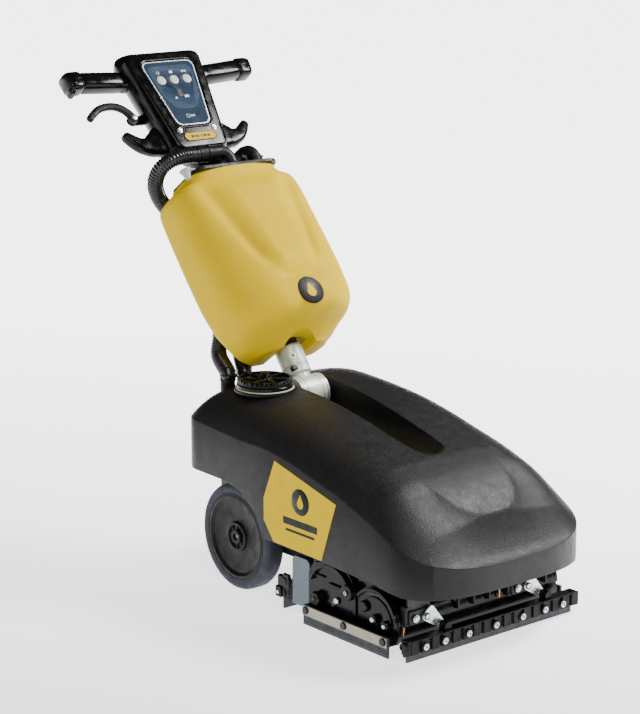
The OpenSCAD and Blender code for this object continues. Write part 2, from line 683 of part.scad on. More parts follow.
// ---- recovery tank ----
// Half width, front and back of the tank by distance along the column
tank_half_line = [[90, 84], [105, 104], [130, 124], [164, 140], [220, 148], [300, 151], [420, 152],
    [445, 149], [458, 139], [466, 118], [474, 109], [500, 108]];
tank_line_half = 152;
tank_front_line = [[90, 45], [105, 60], [118, 82], [130, 120], [142, 136], [161, 141], [200, 137],
    [300, 118], [400, 98], [455, 90], [500, 88]];
tank_back_line = [[90, -40], [160, -42], [220, -46], [440, -46], [460, -42], [483, -32], [500, -30]];
tank_stations = [90, 97, 105, 118, 130, 142, 161, 200, 250, 300, 350, 400, 430, 445, 455, 462, 468, 474];
corner_power = 3.4;
ring_points = 44;
function squared(v) = sign(v) * pow(abs(v), 2 / corner_power);
function tank_ring(s, d, z) =
    let (a = spline(tank_half_line, s) * tank_half_w / tank_line_half - d,
        f = spline(tank_front_line, s) - d, b = spline(tank_back_line, s) + d)
    [for (i = [0 : ring_points - 1]) let (t = -360 * i / ring_points)
        [a * squared(cos(t)), -(f + b) / 2 - (f - b) / 2 * squared(sin(t)), z]];
// Closed form of the tank, inset by d, between two heights
module tank_form(d, low, high) {
    rings = concat([tank_ring(low, d, low)],
        [for (s = tank_stations) if (s > low + 1 && s < high - 1) tank_ring(s, d, s)],
        [tank_ring(high, d, high)]);
    top = (len(rings) - 1) * ring_points;
    polyhedron(
        points = [for (r = rings) for (p = r) p],
        faces = concat([[for (i = [0 : ring_points - 1]) i]],
            [for (k = [0 : len(rings) - 2]) for (f = band_faces(k * ring_points, ring_points))
                [f[0], f[2], f[1]]],
            [[for (i = [ring_points - 1 : -1 : 0]) top + i]]));
}
arch_r = 52;
arch_z = 60;
channel_half = 30;
channel_front = 30;
module tank_arch(d) translate([0, 200, arch_z]) rotate([90, 0, 0]) cylinder(r = arch_r + d, h = 500);
module tank_channel(d) translate([-channel_half - d, -channel_front - d, 0])
    cube([2 * (channel_half + d), 300, 600]);
module recovery_tank() color(yellow) on_column() difference() {
    tank_form(0, tank_stations[0], tank_rim);
    tank_arch(0);
    tank_channel(0);
    difference() {
        tank_form(tank_wall, tank_stations[0] + tank_wall, tank_rim + 1);
        tank_arch(tank_wall);
        tank_channel(tank_wall);
    }
}
badge_z = 165;
badge_r = 30;
badge_sink = 2;
module tank_badge() color(black) on_column()
    translate([0, -spline(tank_front_line, badge_z) + badge_sink, badge_z])
    rotate([88, 0, 0]) cylinder(r = badge_r, h = badge_sink + 1);
lid_t = 6;
lid_low = tank_rim + seat_gap;
lid_high = lid_low + lid_t;
fitting_x = [12, 74];
fitting_y = -50;
fitting_rise = 44;
pipe_r = 15;
bend_r = 22;
module tank_lid() color(black) on_column() difference() {
    translate([0, 0, lid_low]) linear_extrude(lid_t) hull() for (sx = [-1, 1], y = [-62, 6])
        translate([sx * 84, y]) circle(24, $fn = 32);
    cylinder(r = tube_r, h = 600);
    for (x = fitting_x) translate([x, fitting_y, 0]) cylinder(r = pipe_r - 4, h = 600);
}
// A pipe that rises from the lid, bends to the side and ends in a hose cuff
module elbow(reach) difference() {
    union() {
        cylinder(r = pipe_r + 4, h = 5);
        cylinder(r = pipe_r, h = fitting_rise - bend_r);
        translate([-bend_r, 0, fitting_rise - bend_r]) rotate([90, 0, 0])
            rotate_extrude(angle = 90) translate([bend_r, 0]) circle(pipe_r);
        translate([-bend_r - reach, 0, fitting_rise]) rotate([0, 90, 0]) cylinder(r = pipe_r, h = reach);
        translate([-bend_r - reach, 0, fitting_rise]) rotate([0, 90, 0])
            cylinder(r = hose_r, h = min(28, reach));
    }
    translate([0, 0, -1]) cylinder(r = pipe_r - 4, h = 14);
}
cuff_reach = [56, 14];
module lid_fittings() color(black) on_column() for (i = [0, 1])
    translate([fitting_x[i], fitting_y, lid_high]) rotate([0, 0, -90 * i]) elbow(cuff_reach[i]);
funnel_low = 471;
funnel_x = -126;
funnel_y = -72;
module lid_funnel() color([0.6, 0.62, 0.62]) on_column() translate([funnel_x, funnel_y, 0]) {
    translate([0, 0, funnel_low]) cylinder(r1 = 5, r2 = 11, h = lid_high - funnel_low);
    translate([0, 0, lid_high]) rotate([0, 0, 14]) translate([0, -8, 0]) cube([32, 16, 2]);
    translate([0, 0, lid_high]) cylinder(r = 11, h = 2);
}

// ---- console ----
face_mid = (console_low + console_high) / 2;
face_half_h = (console_high - console_low) / 2;
face_lean = 3.5;
// The console face's own frame: X across, Y up the face, Z out of the face
module on_face() on_column() translate([0, 0, face_mid]) rotate([90 - face_lean, 0, 0]) children();
module off_face() rotate([face_lean - 90, 0, 0]) translate([0, 0, -face_mid]) children();
function corner_arc(x, y, r, from) =
    [for (a = [from : 22.5 : from + 90]) [x + r * cos(a), y + r * sin(a)]];
function trapezoid(top_half, low_half, high, low, r) = concat(
    corner_arc(top_half - r, high - r, r, 0), corner_arc(-top_half + r, high - r, r, 90),
    corner_arc(-low_half + r, low + r, r, 180), corner_arc(low_half - r, low + r, r, 270));
module face_slice(grow, z, t) translate([0, 0, z]) linear_extrude(t) polygon(trapezoid(
    console_top_half + grow, console_low_half + grow, face_half_h + grow, -face_half_h - grow / 2,
    16 + grow / 2));
button_x = [-33, 0, 33];
button_y = 739 - face_mid;
lever_pivot = [-112, -15];
lever_z = -46;
lever_t = 12;
grip_root = 96;
grip_z = -42;
grip_y = 768 - face_mid;
grip_rise = 4;
module grips(r, from, to) for (sx = [-1, 1]) translate([sx * grip_root, grip_y, grip_z])
    rotate([0, 0, sx * grip_rise]) translate([sx * (from - grip_root), 0, 0])
    rotate([0, sx * 90, 0]) cylinder(r = r, h = to - from);
module console_stem() hull() {
    off_face() translate([0, 0, 520]) cylinder(r = tube_r + 5, h = 4, $fn = 32);
    translate([-50, -face_half_h - 2, -48]) cube([100, 6, 44]);
}
module console_housing() color(black) on_face() difference() {
    union() {
        hull() {
            face_slice(-5, -1.5, 1.5);
            face_slice(0, -5, 1);
            face_slice(10, -30, 2);
            face_slice(2, -56, 2);
        }
        console_stem();
        // lug that carries the lever's pivot
        translate([lever_pivot[0], lever_pivot[1], lever_z - 6]) {
            cylinder(r = 11, h = 5.5);
            translate([0, -11, 0]) cube([40, 22, 5.5]);
            cylinder(r = pin_r, h = lever_t + 8);
        }
    }
    hull() {
        face_slice(-9, -6, 1);
        face_slice(4, -30, 2);
        face_slice(-4, -50, 1);
    }
    for (x = button_x) translate([x, button_y, -20]) cylinder(r = button_r + seat_gap, h = 40);
    grips(grip_r + seat_gap, 60, 160);
    off_face() cylinder(r = tube_r, h = tube_end);
}
module control_panel() color([0.11, 0.23, 0.36]) on_face() difference() {
    linear_extrude(0.8) polygon(trapezoid(68, 42, 94, -66, 12));
    for (x = button_x) translate([x, button_y, -5]) cylinder(r = button_r + seat_gap, h = 10);
}
module name_plate() color(yellow) on_face() translate([0, 597 - face_mid, 0])
    linear_extrude(1.4) hull() for (sx = [-1, 1]) translate([sx * 30, 0]) circle(9, $fn = 32);
module console_screws() color(zinc) on_face() for (sx = [-1, 1])
    translate([sx * 44, 615 - face_mid, 0]) cylinder(r = 5, h = 3);
module push_button(i) color([0.78, 0.78, 0.72]) on_face()
    translate([button_x[i], button_y, -4]) cylinder(r = button_r, h = 6.4);
module button_left() push_button(0);
module button_middle() push_button(1);
module button_right() push_button(2);
module handlebar() color(black) on_face() {
    translate([0, grip_y, grip_z]) rod_x(10, 2 * grip_root);
    grips(grip_r, 88, grip_end - 8);
    grips(grip_r - 3, grip_end - 9, grip_end);
}
// Each point of a hook's centre line with the hook's radius there
hook_path = [[50, -120, 18], [112, -124, 16], [146, -96, 13], [165, -57, 7]];
module cable_hooks() color(black) on_face() both_sides()
    for (i = [0 : len(hook_path) - 2]) hull() for (p = [hook_path[i], hook_path[i + 1]])
        translate([p[0], p[1], -46]) cylinder(r = p[2], h = 20, $fn = 32);
lever_path = [lever_pivot, [-124, 6], [-146, 20], [-182, 18], [-220, -8]];
module drive_lever() color(black) on_face() translate([0, 0, lever_z]) difference() {
    union() {
        translate(lever_pivot) cylinder(r = 10, h = lever_t);
        for (i = [0 : len(lever_path) - 2]) hull() for (p = [lever_path[i], lever_path[i + 1]])
            translate(p) cylinder(r = 6, h = lever_t, $fn = 24);
    }
    translate([lever_pivot[0], lever_pivot[1], -1]) cylinder(r = pin_r + running_fit, h = 20);
}

// ---- hoses ----
// Routes in the column's frame, chosen by hand, from the lid down to the sockets in the base
function to_column(x, y, z) = let (dy = y - pivot_y, dz = z - pivot_z)
    [x, dy * cos(column_lean) - dz * sin(column_lean), dy * sin(column_lean) + dz * cos(column_lean)];
hose_end_z = [socket_top + 16, socket_top + 4, socket_top + seat_gap];
dirty_route = concat([[-66, -50, 533.3], [-90, -50, 534], [-122, -44, 534], [-146, -20, 530],
    [-152, 15, 520], [-138, 48, 500], [-110, 66, 472], [-82, 72, 438], [-66, 74, 390],
    [-60, 74, 320], [-64, 76, 250], [-82, 80, 190], [-102, 87, 146]],
    [for (z = hose_end_z) to_column(hose_socket_x[0], hose_socket_y, z)]);
air_route = concat([[74, -14, 533.3], [74, 6, 532], [72, 40, 526], [68, 66, 506], [62, 78, 470],
    [50, 80, 420], [34, 80, 360], [16, 80, 300], [-4, 80, 235], [-26, 82, 190], [-46, 88, 146]],
    [for (z = hose_end_z) to_column(hose_socket_x[1], hose_socket_y, z)]);
hose_sides = 12;
hose_substeps = 3;
function unit(v) = v / norm(v);
function knots(route, k) = [for (i = [0 : len(route) - 1]) [i, route[i][k]]];
function smooth(route) = let (x = knots(route, 0), y = knots(route, 1), z = knots(route, 2))
    [for (i = [0 : 1 / hose_substeps : len(route) - 1 + eps]) [spline(x, i), spline(y, i), spline(z, i)]];
function tangent(p, i) = unit(p[min(i + 1, len(p) - 1)] - p[max(i - 1, 0)]);
// Each ring's side direction, carried along the route without twist
function carried(p, i, side) = i >= len(p) ? []
    : let (t = tangent(p, i), v = unit(side - (side * t) * t)) concat([v], carried(p, i + 1, v));
module hose(route) {
    p = smooth(route);
    sides = carried(p, 0, [0.1, 0.2, 1]);
    n = len(p);
    polyhedron(
        points = [for (i = [0 : n - 1], k = [0 : hose_sides - 1])
            let (t = tangent(p, i), a = 360 * k / hose_sides)
            p[i] + hose_r * (cos(a) * sides[i] + sin(a) * cross(t, sides[i]))],
        faces = concat([[for (k = [0 : hose_sides - 1]) k]],
            [for (i = [0 : n - 2]) for (f = band_faces(i * hose_sides, hose_sides)) [f[0], f[2], f[1]]],
            [[for (k = [hose_sides - 1 : -1 : 0]) (n - 1) * hose_sides + k]]));
}
module dirty_water_hose() color(black) on_column() hose(dirty_route);
module air_hose() color(black) on_column() hose(air_route);

place() solution_tank();
place() side_labels();
place() fill_neck();
place() chassis();
place() chassis_lugs();
place() pivot_clevis();
place() pivot_pin();
place() wheel_axle();
place() batteries();
place() brush_motor();
place() suction_motor();
place() water_pump();
place() hose_sockets();
place() brush_deck();
place() end_plates();
place() deck_panels();
place() side_blade_strips();
place() side_blades();
place() deck_screws();
place() front_link_plates();
place() brush_belt();
place() motor_pulley();
place() front_brush_core();
place() front_brush_bristles();
place() rear_brush_core();
place() rear_brush_bristles();
place() left_tyre();
place() left_hub();
place() right_tyre();
place() right_hub();
place() brush_knobs();
place() front_arm_left();
place() front_arm_right();
place() front_squeegee_bar();
place() front_squeegee_blade();
place() front_squeegee_bolts();
place() rear_squeegee_bar();
place() rear_squeegee_blade();
place() rear_squeegee_arms();
place() column_knuckle();
place() swivel_collar();
place() column_tube();
place() tank_lid();
place() lid_fittings();
place() lid_funnel();
place() console_housing();
place() control_panel();
place() name_plate();
place() console_screws();
place() handlebar();
place() cable_hooks();
place() recovery_tank();
place() tank_badge();
place() cap_gasket();
place() fill_cap();
place() drive_lever();
place() button_left();
place() button_middle();
place() button_right();
place() dirty_water_hose();
place() air_hose();
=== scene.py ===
import json
import math
import bpy
import bmesh
import numpy as np
from mathutils import Matrix, Vector


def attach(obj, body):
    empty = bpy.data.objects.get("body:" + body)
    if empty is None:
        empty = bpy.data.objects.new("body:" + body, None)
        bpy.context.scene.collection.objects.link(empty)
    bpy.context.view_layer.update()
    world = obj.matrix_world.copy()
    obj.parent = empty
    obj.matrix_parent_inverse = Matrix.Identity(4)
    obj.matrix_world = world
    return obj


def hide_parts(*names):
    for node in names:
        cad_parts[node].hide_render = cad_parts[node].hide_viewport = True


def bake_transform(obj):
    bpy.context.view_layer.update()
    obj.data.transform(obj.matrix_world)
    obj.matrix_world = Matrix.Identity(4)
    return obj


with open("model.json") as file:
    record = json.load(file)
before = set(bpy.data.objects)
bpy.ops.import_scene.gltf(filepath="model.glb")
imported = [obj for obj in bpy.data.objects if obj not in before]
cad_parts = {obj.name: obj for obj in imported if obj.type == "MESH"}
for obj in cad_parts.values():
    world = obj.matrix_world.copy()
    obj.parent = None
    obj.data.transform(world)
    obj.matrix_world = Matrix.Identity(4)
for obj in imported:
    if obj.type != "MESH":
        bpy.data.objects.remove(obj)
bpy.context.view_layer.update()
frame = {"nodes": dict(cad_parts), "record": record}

# ---- places in machine millimetres that several pieces share ----
SHIFT = 199.0                    # from the machine's reference back to the frame's origin
PIVOT_Y, PIVOT_Z = 246, 366      # the column's tilt axis
LEAN = 36                        # the column's lean at rest, in degrees
AXLE_Y, AXLE_Z = 223, 108
CONSOLE_S, CONSOLE_TURN = 692, 86.5   # the console face: place along the column, and turn
SOCKET_TOP = 392.0               # top of the hose sockets
DECK_FACE = 204.3                # outer face of the end plates
LABEL_FACE = 223.05              # outer face of the side labels
BAR_FACE = -312.0                # front face of the front squeegee bar
BAR_BOLTS = (-178, -130, -70, 0, 70, 130, 178)
BAR_BOLT_Z = 27
ARM_X = (-151, 110)              # upper pivots of the two front arms
STRIP_SCREWS = (-30, -141, -252)
BUTTONS = (("left", -33), ("middle", 0), ("right", 33))
BUTTON_Y = 47
SIDES = (("right", -1), ("left", 1))

# ---- camera ----
cam = bpy.data.objects.new("camera", bpy.data.cameras.new("camera"))
bpy.context.scene.collection.objects.link(cam)
bpy.context.scene.camera = cam
cam.location = (-2.771, -3.344, 1.489)
cam.rotation_euler = (math.radians(90 - 13.37), 0, math.radians(-40.14))
cam.data.sensor_width = 36
cam.data.lens = 112.5
cam.data.shift_x = -0.0273
cam.data.shift_y = -0.0053
cam.data.clip_end = 200

# ---- frames of the machine, the column and the console face: millimetres in, metres out ----
MACHINE = Matrix.Translation((0, -SHIFT / 1000, 0)) @ Matrix.Scale(0.001, 4)
COLUMN = MACHINE @ Matrix.Translation((0, PIVOT_Y, PIVOT_Z)) @ Matrix.Rotation(math.radians(-LEAN), 4, "X")
FACE = COLUMN @ Matrix.Translation((0, 0, CONSOLE_S)) @ Matrix.Rotation(math.radians(CONSOLE_TURN), 4, "X")


# ---- materials, each filed under its name ----
MATS = {}


def mat(name, base, rough, metal=0.0, vary=0.18, blotch=22.0, grain=900.0, bump=0.15, rough_vary=0.12,
        bevel=0.0, stretch=(1, 1, 1), coat=0.0, spec=0.5, painted_glint=0.0, painted_glint_scale=620.0, dust=0.0,
        dist=0.0006):
    m = bpy.data.materials.new(name)
    m.use_nodes = True
    nt = m.node_tree
    N, L = nt.nodes, nt.links
    out = N["Principled BSDF"]
    tc = N.new("ShaderNodeTexCoord")
    mp = N.new("ShaderNodeMapping")
    mp.inputs["Scale"].default_value = stretch
    L.new(tc.outputs["Object"], mp.inputs["Vector"])

    def noise(scale, detail=4.0, rough_=0.55, src=mp):
        n = N.new("ShaderNodeTexNoise")
        n.inputs["Scale"].default_value = scale
        n.inputs["Detail"].default_value = detail
        n.inputs["Roughness"].default_value = rough_
        L.new(src.outputs["Vector"], n.inputs["Vector"])
        return n

    def span(src, lo, hi, a=0.35, b=0.65):
        r = N.new("ShaderNodeMapRange")
        r.inputs["From Min"].default_value = a
        r.inputs["From Max"].default_value = b
        r.inputs["To Min"].default_value = lo
        r.inputs["To Max"].default_value = hi
        L.new(src, r.inputs["Value"])
        return r.outputs["Result"]

    def mix(fac, a, b):
        x = N.new("ShaderNodeMix")
        x.data_type = "RGBA"
        for key, v in (("Factor", fac), ("A", a), ("B", b)):
            sock = x.inputs[0] if key == "Factor" else x.inputs[6 if key == "A" else 7]
            if isinstance(v, bpy.types.NodeSocket):
                L.new(v, sock)
            else:
                sock.default_value = v if key == "Factor" else (*v, 1)
        return x.outputs[2]

    big, fine = noise(blotch, 5), noise(grain, 3, 0.6)
    col = mix(span(big.outputs["Fac"], 0, 1), [c * (1 - vary) for c in base],
              [min(1, c * (1 + vary)) for c in base])
    # painted glints: light flecks mixed into the base colour stand in for the speckled highlight on the
    # grained shell
    if painted_glint:
        v = N.new("ShaderNodeTexVoronoi")
        v.inputs["Scale"].default_value = painted_glint_scale
        L.new(mp.outputs["Vector"], v.inputs["Vector"])
        col = mix(span(v.outputs["Distance"], painted_glint, 0, 0.08, 0.45), col,
            [min(1, c * 2.6 + 0.02) for c in base])
    if dust:
        d = noise(7, 6, 0.65)
        col = mix(span(d.outputs["Fac"], 0, dust, 0.45, 0.8), col, (0.42, 0.4, 0.36))
    L.new(col, out.inputs["Base Color"])
    L.new(span(noise(blotch * 2.3, 6, 0.6).outputs["Fac"], max(0.02, rough - rough_vary),
               min(1, rough + rough_vary)), out.inputs["Roughness"])
    out.inputs["Metallic"].default_value = metal
    out.inputs["Specular IOR Level"].default_value = spec
    if coat:
        out.inputs["Coat Weight"].default_value = coat
        out.inputs["Coat Roughness"].default_value = 0.08
    b = N.new("ShaderNodeBump")
    b.inputs["Strength"].default_value = bump
    b.inputs["Distance"].default_value = dist
    L.new(fine.outputs["Fac"], b.inputs["Height"])
    if bevel:
        r = N.new("ShaderNodeBevel")
        r.samples = 4
        r.inputs["Radius"].default_value = bevel
        L.new(r.outputs["Normal"], b.inputs["Normal"])
    L.new(b.outputs["Normal"], out.inputs["Normal"])
    MATS[name] = m
    return m


# the shell's light flecks are painted glints
mat("charcoal_pe", (0.0085, 0.0081, 0.009), 0.4, vary=0.1, spec=0.24, grain=520, bump=0.8, bevel=0.003,
    painted_glint=0.35, rough_vary=0.07, dist=0.0009, dust=0.004)
mat("black_plastic", (0.006, 0.006, 0.0065), 0.42, spec=0.16, bevel=0.0012, grain=1100, bump=0.2,
    rough_vary=0.14, dust=0.008)
mat("gloss_black", (0.002, 0.002, 0.0023), 0.18, spec=0.2, bevel=0.0016, grain=160, bump=0.05,
    rough_vary=0.08, dust=0.002)
mat("yellow_pe", (0.64, 0.43, 0.0), 0.5, vary=0.04, spec=0.04, blotch=9, grain=150, bump=0.12,
    bevel=0.002, rough_vary=0.06, dist=0.0006)
mat("yellow_label", (0.66, 0.45, 0.0), 0.45, spec=0.04, vary=0.035, blotch=30, grain=300, bump=0.05)
mat("tyre_grey", (0.036, 0.039, 0.052), 0.62, spec=0.15, vary=0.2, blotch=40, grain=800, bump=0.4,
    dust=0.016)
mat("squeegee_rubber", (0.018, 0.022, 0.032), 0.5, spec=0.4, vary=0.2, blotch=35, grain=500, bump=0.2,
    dust=0.08)
mat("hose_rubber", (0.007, 0.007, 0.007), 0.28, spec=0.45, vary=0.25, grain=700, bump=0.15, dust=0.02)
mat("black_frame", (0.008, 0.008, 0.0085), 0.4, spec=0.35, grain=1400, bump=0.35, bevel=0.001, dust=0.012)
mat("pale_casting", (0.58, 0.61, 0.54), 0.42, metal=0.25, vary=0.08, grain=700, bump=0.25,
    bevel=0.0012, dust=0.04)
mat("zinc", (0.66, 0.74, 0.70), 0.3, metal=0.9, vary=0.14, blotch=60, grain=300, bump=0.2,
    bevel=0.0006, rough_vary=0.15)
mat("steel", (0.5, 0.5, 0.52), 0.28, metal=1.0, vary=0.12, grain=90, stretch=(40, 1, 1), bump=0.2)
mat("strip_beige", (0.33, 0.30, 0.23), 0.38, metal=0.55, vary=0.14, blotch=30, grain=60,
    stretch=(1, 1, 22), bump=0.25, bevel=0.0006, dust=0.1)
mat("slate_panel", (0.075, 0.115, 0.145), 0.4, vary=0.12, bevel=0.0015, grain=600, bump=0.2,
    dust=0.08)
mat("motor_grey", (0.1, 0.1, 0.11), 0.45, metal=0.5, grain=500, bump=0.4)
mat("battery_case", (0.03, 0.03, 0.034), 0.5, grain=500, bump=0.3, bevel=0.002)
mat("bristle_blue", (0.03, 0.07, 0.2), 0.6, vary=0.5, blotch=300, grain=900, bump=1.0,
    stretch=(6, 1, 1), dist=0.002)
mat("belt_black", (0.012, 0.012, 0.012), 0.6, grain=400, bump=0.4, stretch=(1, 3, 3))
mat("panel_navy", (0.009, 0.024, 0.050), 0.5, spec=0.08, vary=0.12, grain=900, bump=0.1)
mat("button_ivory", (0.52, 0.53, 0.45), 0.5, vary=0.08, blotch=120, grain=900, bump=0.3,
    bevel=0.0012)
mat("gasket_ivory", (0.62, 0.59, 0.42), 0.55, vary=0.12, blotch=60, grain=600, bump=0.3)
mat("funnel_grey", (0.36, 0.39, 0.39), 0.4, vary=0.1, blotch=50, grain=500, bump=0.15)
mat("zone_blue", (0.030, 0.050, 0.085), 0.5, spec=0.08, vary=0.14, blotch=90, grain=900, bump=0.1)
mat("silver_ink", (0.5, 0.54, 0.56), 0.35, metal=0.3, vary=0.12, blotch=120, grain=600, bump=0.1)
mat("icon_pale", (0.55, 0.6, 0.62), 0.4, vary=0.15, blotch=300, grain=900, bump=0.1)
mat("copper", (0.45, 0.2, 0.08), 0.3, metal=1.0, vary=0.15, blotch=80, grain=300, bump=0.2)
mat("seam_dark", (0.02, 0.02, 0.02), 0.6, vary=0.3, blotch=80, grain=600, bump=0.3)
# the record's slot for each finish that has no slot of its own
for s in frame["record"]["subparts"]:
    o = frame["nodes"][s["node"]]
    o.data.materials.clear()
    o.data.materials.append(MATS[s["material_slot"]])


# ---- geometry builders: (points, faces) in local millimetres ----
def put(name, geo, M, material, body, replaces=(), sharp=35):
    """One piece from local geometry, placed by M. A cutter has no body, nor has a piece cut later."""
    v, f = geo
    me = bpy.data.meshes.new(name)
    me.from_pydata([tuple(p) for p in v], [], [tuple(int(i) for i in q) for q in f])
    me.transform(M)
    me.update()
    me.validate()
    b = bmesh.new()
    b.from_mesh(me)
    bmesh.ops.remove_doubles(b, verts=b.verts, dist=1e-6)
    bmesh.ops.recalc_face_normals(b, faces=b.faces)
    b.to_mesh(me)
    b.free()
    me.shade_smooth()
    me.set_sharp_from_angle(angle=math.radians(sharp))
    me.materials.append(MATS[material])
    o = bpy.data.objects.new(name, me)
    bpy.context.scene.collection.objects.link(o)
    if body:
        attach(o, body)
    if replaces:
        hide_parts(*replaces)
    return o


def join(*geos):
    v, f = [], []
    for gv, gf in geos:
        n = len(v)
        v += [tuple(p) for p in gv]
        f += [[i + n for i in q] for q in gf]
    return v, f


def moved(geo, M):
    return [tuple(M @ Vector(p)) for p in geo[0]], geo[1]


def at(x, y, z, ax=None, deg=0):
    m = Matrix.Translation((x, y, z))
    return m @ Matrix.Rotation(math.radians(deg), 4, ax) if ax else m


def loft(loops, caps=(True, True), closed=False):
    n = len(loops[0])
    v = [tuple(p) for l in loops for p in l]
    f = []
    m = len(loops)
    for k in range(m if closed else m - 1):
        a, b = k * n, ((k + 1) % m) * n
        for i in range(n):
            j = (i + 1) % n
            f.append([a + i, a + j, b + j, b + i])
    if not closed and caps[0]:
        f.append(list(range(n))[::-1])
    if not closed and caps[1]:
        f.append([(m - 1) * n + i for i in range(n)])
    return v, f


def lathe(profile, n=48, closed=False):
    return loft([[(r * math.cos(2 * math.pi * i / n), r * math.sin(2 * math.pi * i / n),
        h) for i in range(n)]
                 for r, h in profile], closed=closed)


def disc(r, h0, h1, soft=1.0, n=40):
    s = min(soft, r * 0.4, abs(h1 - h0) * 0.4)
    return lathe([(r - s, h0), (r, h0 + s), (r, h1 - s), (r - 0.35 * s, h1 - 0.35 * s), (r - s, h1)], n)


def ring(r0, r1, h0, h1, n=48):
    return lathe([(r0, h0), (r1, h0), (r1, h1), (r0, h1)], n, closed=True)


def block(x0, x1, y0, y1, z0, z1, c=1.0):
    c = min(c, (x1 - x0) * .3, (y1 - y0) * .3, (z1 - z0) * .3)
    def rect(i, z):
        return [(x0 + i, y0 + c, z), (x0 + c, y0 + i, z), (x1 - c, y0 + i, z), (x1 - i, y0 + c, z),
                (x1 - i, y1 - c, z), (x1 - c, y1 - i, z), (x0 + c, y1 - i, z), (x0 + i, y1 - c, z)]
    return loft([rect(c * 0.9, z0), rect(0, z0 + c), rect(0, z1 - c), rect(c * 0.9, z1)])


def curve(points, steps=8):
    p = np.array(points, float)
    q = np.vstack([2 * p[0] - p[1], p, 2 * p[-1] - p[-2]])
    out = []
    for i in range(len(p) - 1):
        a, b, c, d = q[i:i + 4]
        for t in np.arange(steps) / steps:      # Catmull-Rom
            out.append(0.5 * (2 * b + (c - a) * t + (2 * a - 5 * b + 4 * c - d) * t * t
                              + (3 * b - a - 3 * c + d) * t ** 3))
    return np.array(out + [p[-1]])


def sweep(path, section, scale=None, up=(0, 0, 1)):
    """section: points (a, b) across the path; scale: one factor pair per path point."""
    path = np.array(path, float)
    n = len(path)
    t = np.gradient(path, axis=0)
    t /= np.linalg.norm(t, axis=1)[:, None]
    side = np.array(up, float)
    loops = []
    for i in range(n):
        u = side - np.dot(side, t[i]) * t[i]
        u /= np.linalg.norm(u)
        side = u
        w = np.cross(t[i], u)
        k = (1, 1) if scale is None else scale[i]
        loops.append([path[i] + k[0] * a * w + k[1] * b * u for a, b in section])
    return loft(loops)


def oval(a, b, n=24, p=2.0):
    return [(a * math.copysign(abs(math.cos(t)) ** (2 / p), math.cos(t)),
             b * math.copysign(abs(math.sin(t)) ** (2 / p), math.sin(t)))
            for t in [2 * math.pi * i / n for i in range(n)]]


def taper(n, first=0.25, last=0.25, ends=4):
    """Scale pairs that round off both ends of a sweep of n points."""
    s = np.ones(n)
    for i in range(ends):
        f = math.sqrt(1 - (1 - (i + 0.6) / (ends + 0.2)) ** 2)
        if first < 1:
            s[i] = min(s[i], max(f, first))
        if last < 1:
            s[n - 1 - i] = min(s[n - 1 - i], max(f, last))
    return s


def prism(outline, z0, z1):
    n = len(outline)
    return loft([[(x, y, z0) for x, y in outline], [(x, y, z1) for x, y in outline]])


def rounded(points, r, steps=6):
    """A polygon with its corners rounded to radius r, or to one radius per corner."""
    out = []
    n = len(points)
    for i in range(n):
        a, b, c = (np.array(points[j % n], float) for j in (i - 1, i, i + 1))
        u, w = (a - b) / np.linalg.norm(a - b), (c - b) / np.linalg.norm(c - b)
        ang = math.acos(max(-0.9999, min(0.9999, float(np.dot(u, w)))))
        rr = r[i] if isinstance(r, (list, tuple)) else r
        d = min(rr / math.tan(ang / 2), 0.49 * np.linalg.norm(a - b), 0.49 * np.linalg.norm(c - b))
        for t in np.linspace(0, 1, steps + 1):
            out.append(tuple((1 - t) ** 2 * (b + u * d) + 2 * t * (1 - t) * b + t ** 2 * (b + w * d)))
    return out


def spline(table, v):
    p = np.array(table, float)
    v = min(max(v, p[0][0]), p[-1][0])
    i = min(int(np.searchsorted(p[:, 0], v, side="right")) - 1, len(p) - 2)
    i = max(i, 0)
    a, b, c, d = (p[max(i - 1, 0)][1], p[i][1], p[i + 1][1], p[min(i + 2, len(p) - 1)][1])
    t = (v - p[i][0]) / (p[i + 1][0] - p[i][0])
    return 0.5 * (2 * b + (c - a) * t + (2 * a - 5 * b + 4 * c - d) * t * t + (3 * b - a - 3 * c + d) * t ** 3)


def smoothstep(x):
    x = min(max(x, 0.0), 1.0)
    return x * x * (3 - 2 * x)


def cut(o, cutters, operation="DIFFERENCE"):
    """Boolean with each cutter in turn; the cutters are then removed."""
    for c in cutters:
        m = o.modifiers.new("cut", "BOOLEAN")
        m.operation = operation
        m.solver = "EXACT"
        m.object = c
    bpy.context.view_layer.update()
    dg = bpy.context.evaluated_depsgraph_get()
    me = bpy.data.meshes.new_from_object(o.evaluated_get(dg))
    o.modifiers.clear()
    old, o.data = o.data, me
    bpy.data.meshes.remove(old)
    for c in cutters:
        bpy.data.objects.remove(c)


def hull(points):
    b = bmesh.new()
    for p in points:
        b.verts.new(p)
    r = bmesh.ops.convex_hull(b, input=b.verts)
    bmesh.ops.delete(b, geom=[g for g in r["geom_interior"] if isinstance(g, bmesh.types.BMVert)],
        context="VERTS")
    b.verts.index_update()
    geo = [tuple(v.co) for v in b.verts], [[v.index for v in f.verts] for f in b.faces]
    b.free()
    return geo


def ball(c, r, n=40, m=20):
    return [(c[0] + r * math.sin(math.pi * j / m) * math.cos(2 * math.pi * i / n),
             c[1] + r * math.sin(math.pi * j / m) * math.sin(2 * math.pi * i / n),
             c[2] + r * math.cos(math.pi * j / m)) for j in range(m + 1) for i in range(n)]


# ---- base shell ----
CREASE = [[-375, 178], [-290, 207], [-210, 241], [-118, 274], [68, 314], [190, 319], [372, 332]]
CROWN = [[-375, -206], [-345, -176], [-309, -138], [-230, -97], [-159, -71], [-50, -45], [40, -24],
         [120, -10], [200, -2], [280, 0], [330, -8], [372, -22]]
HALF, FRONT, REAR, NOSE, CORNER = 222.0, 375.0, 372.0, 230.0, 50.0
CREASE_DEPTH = 6.5


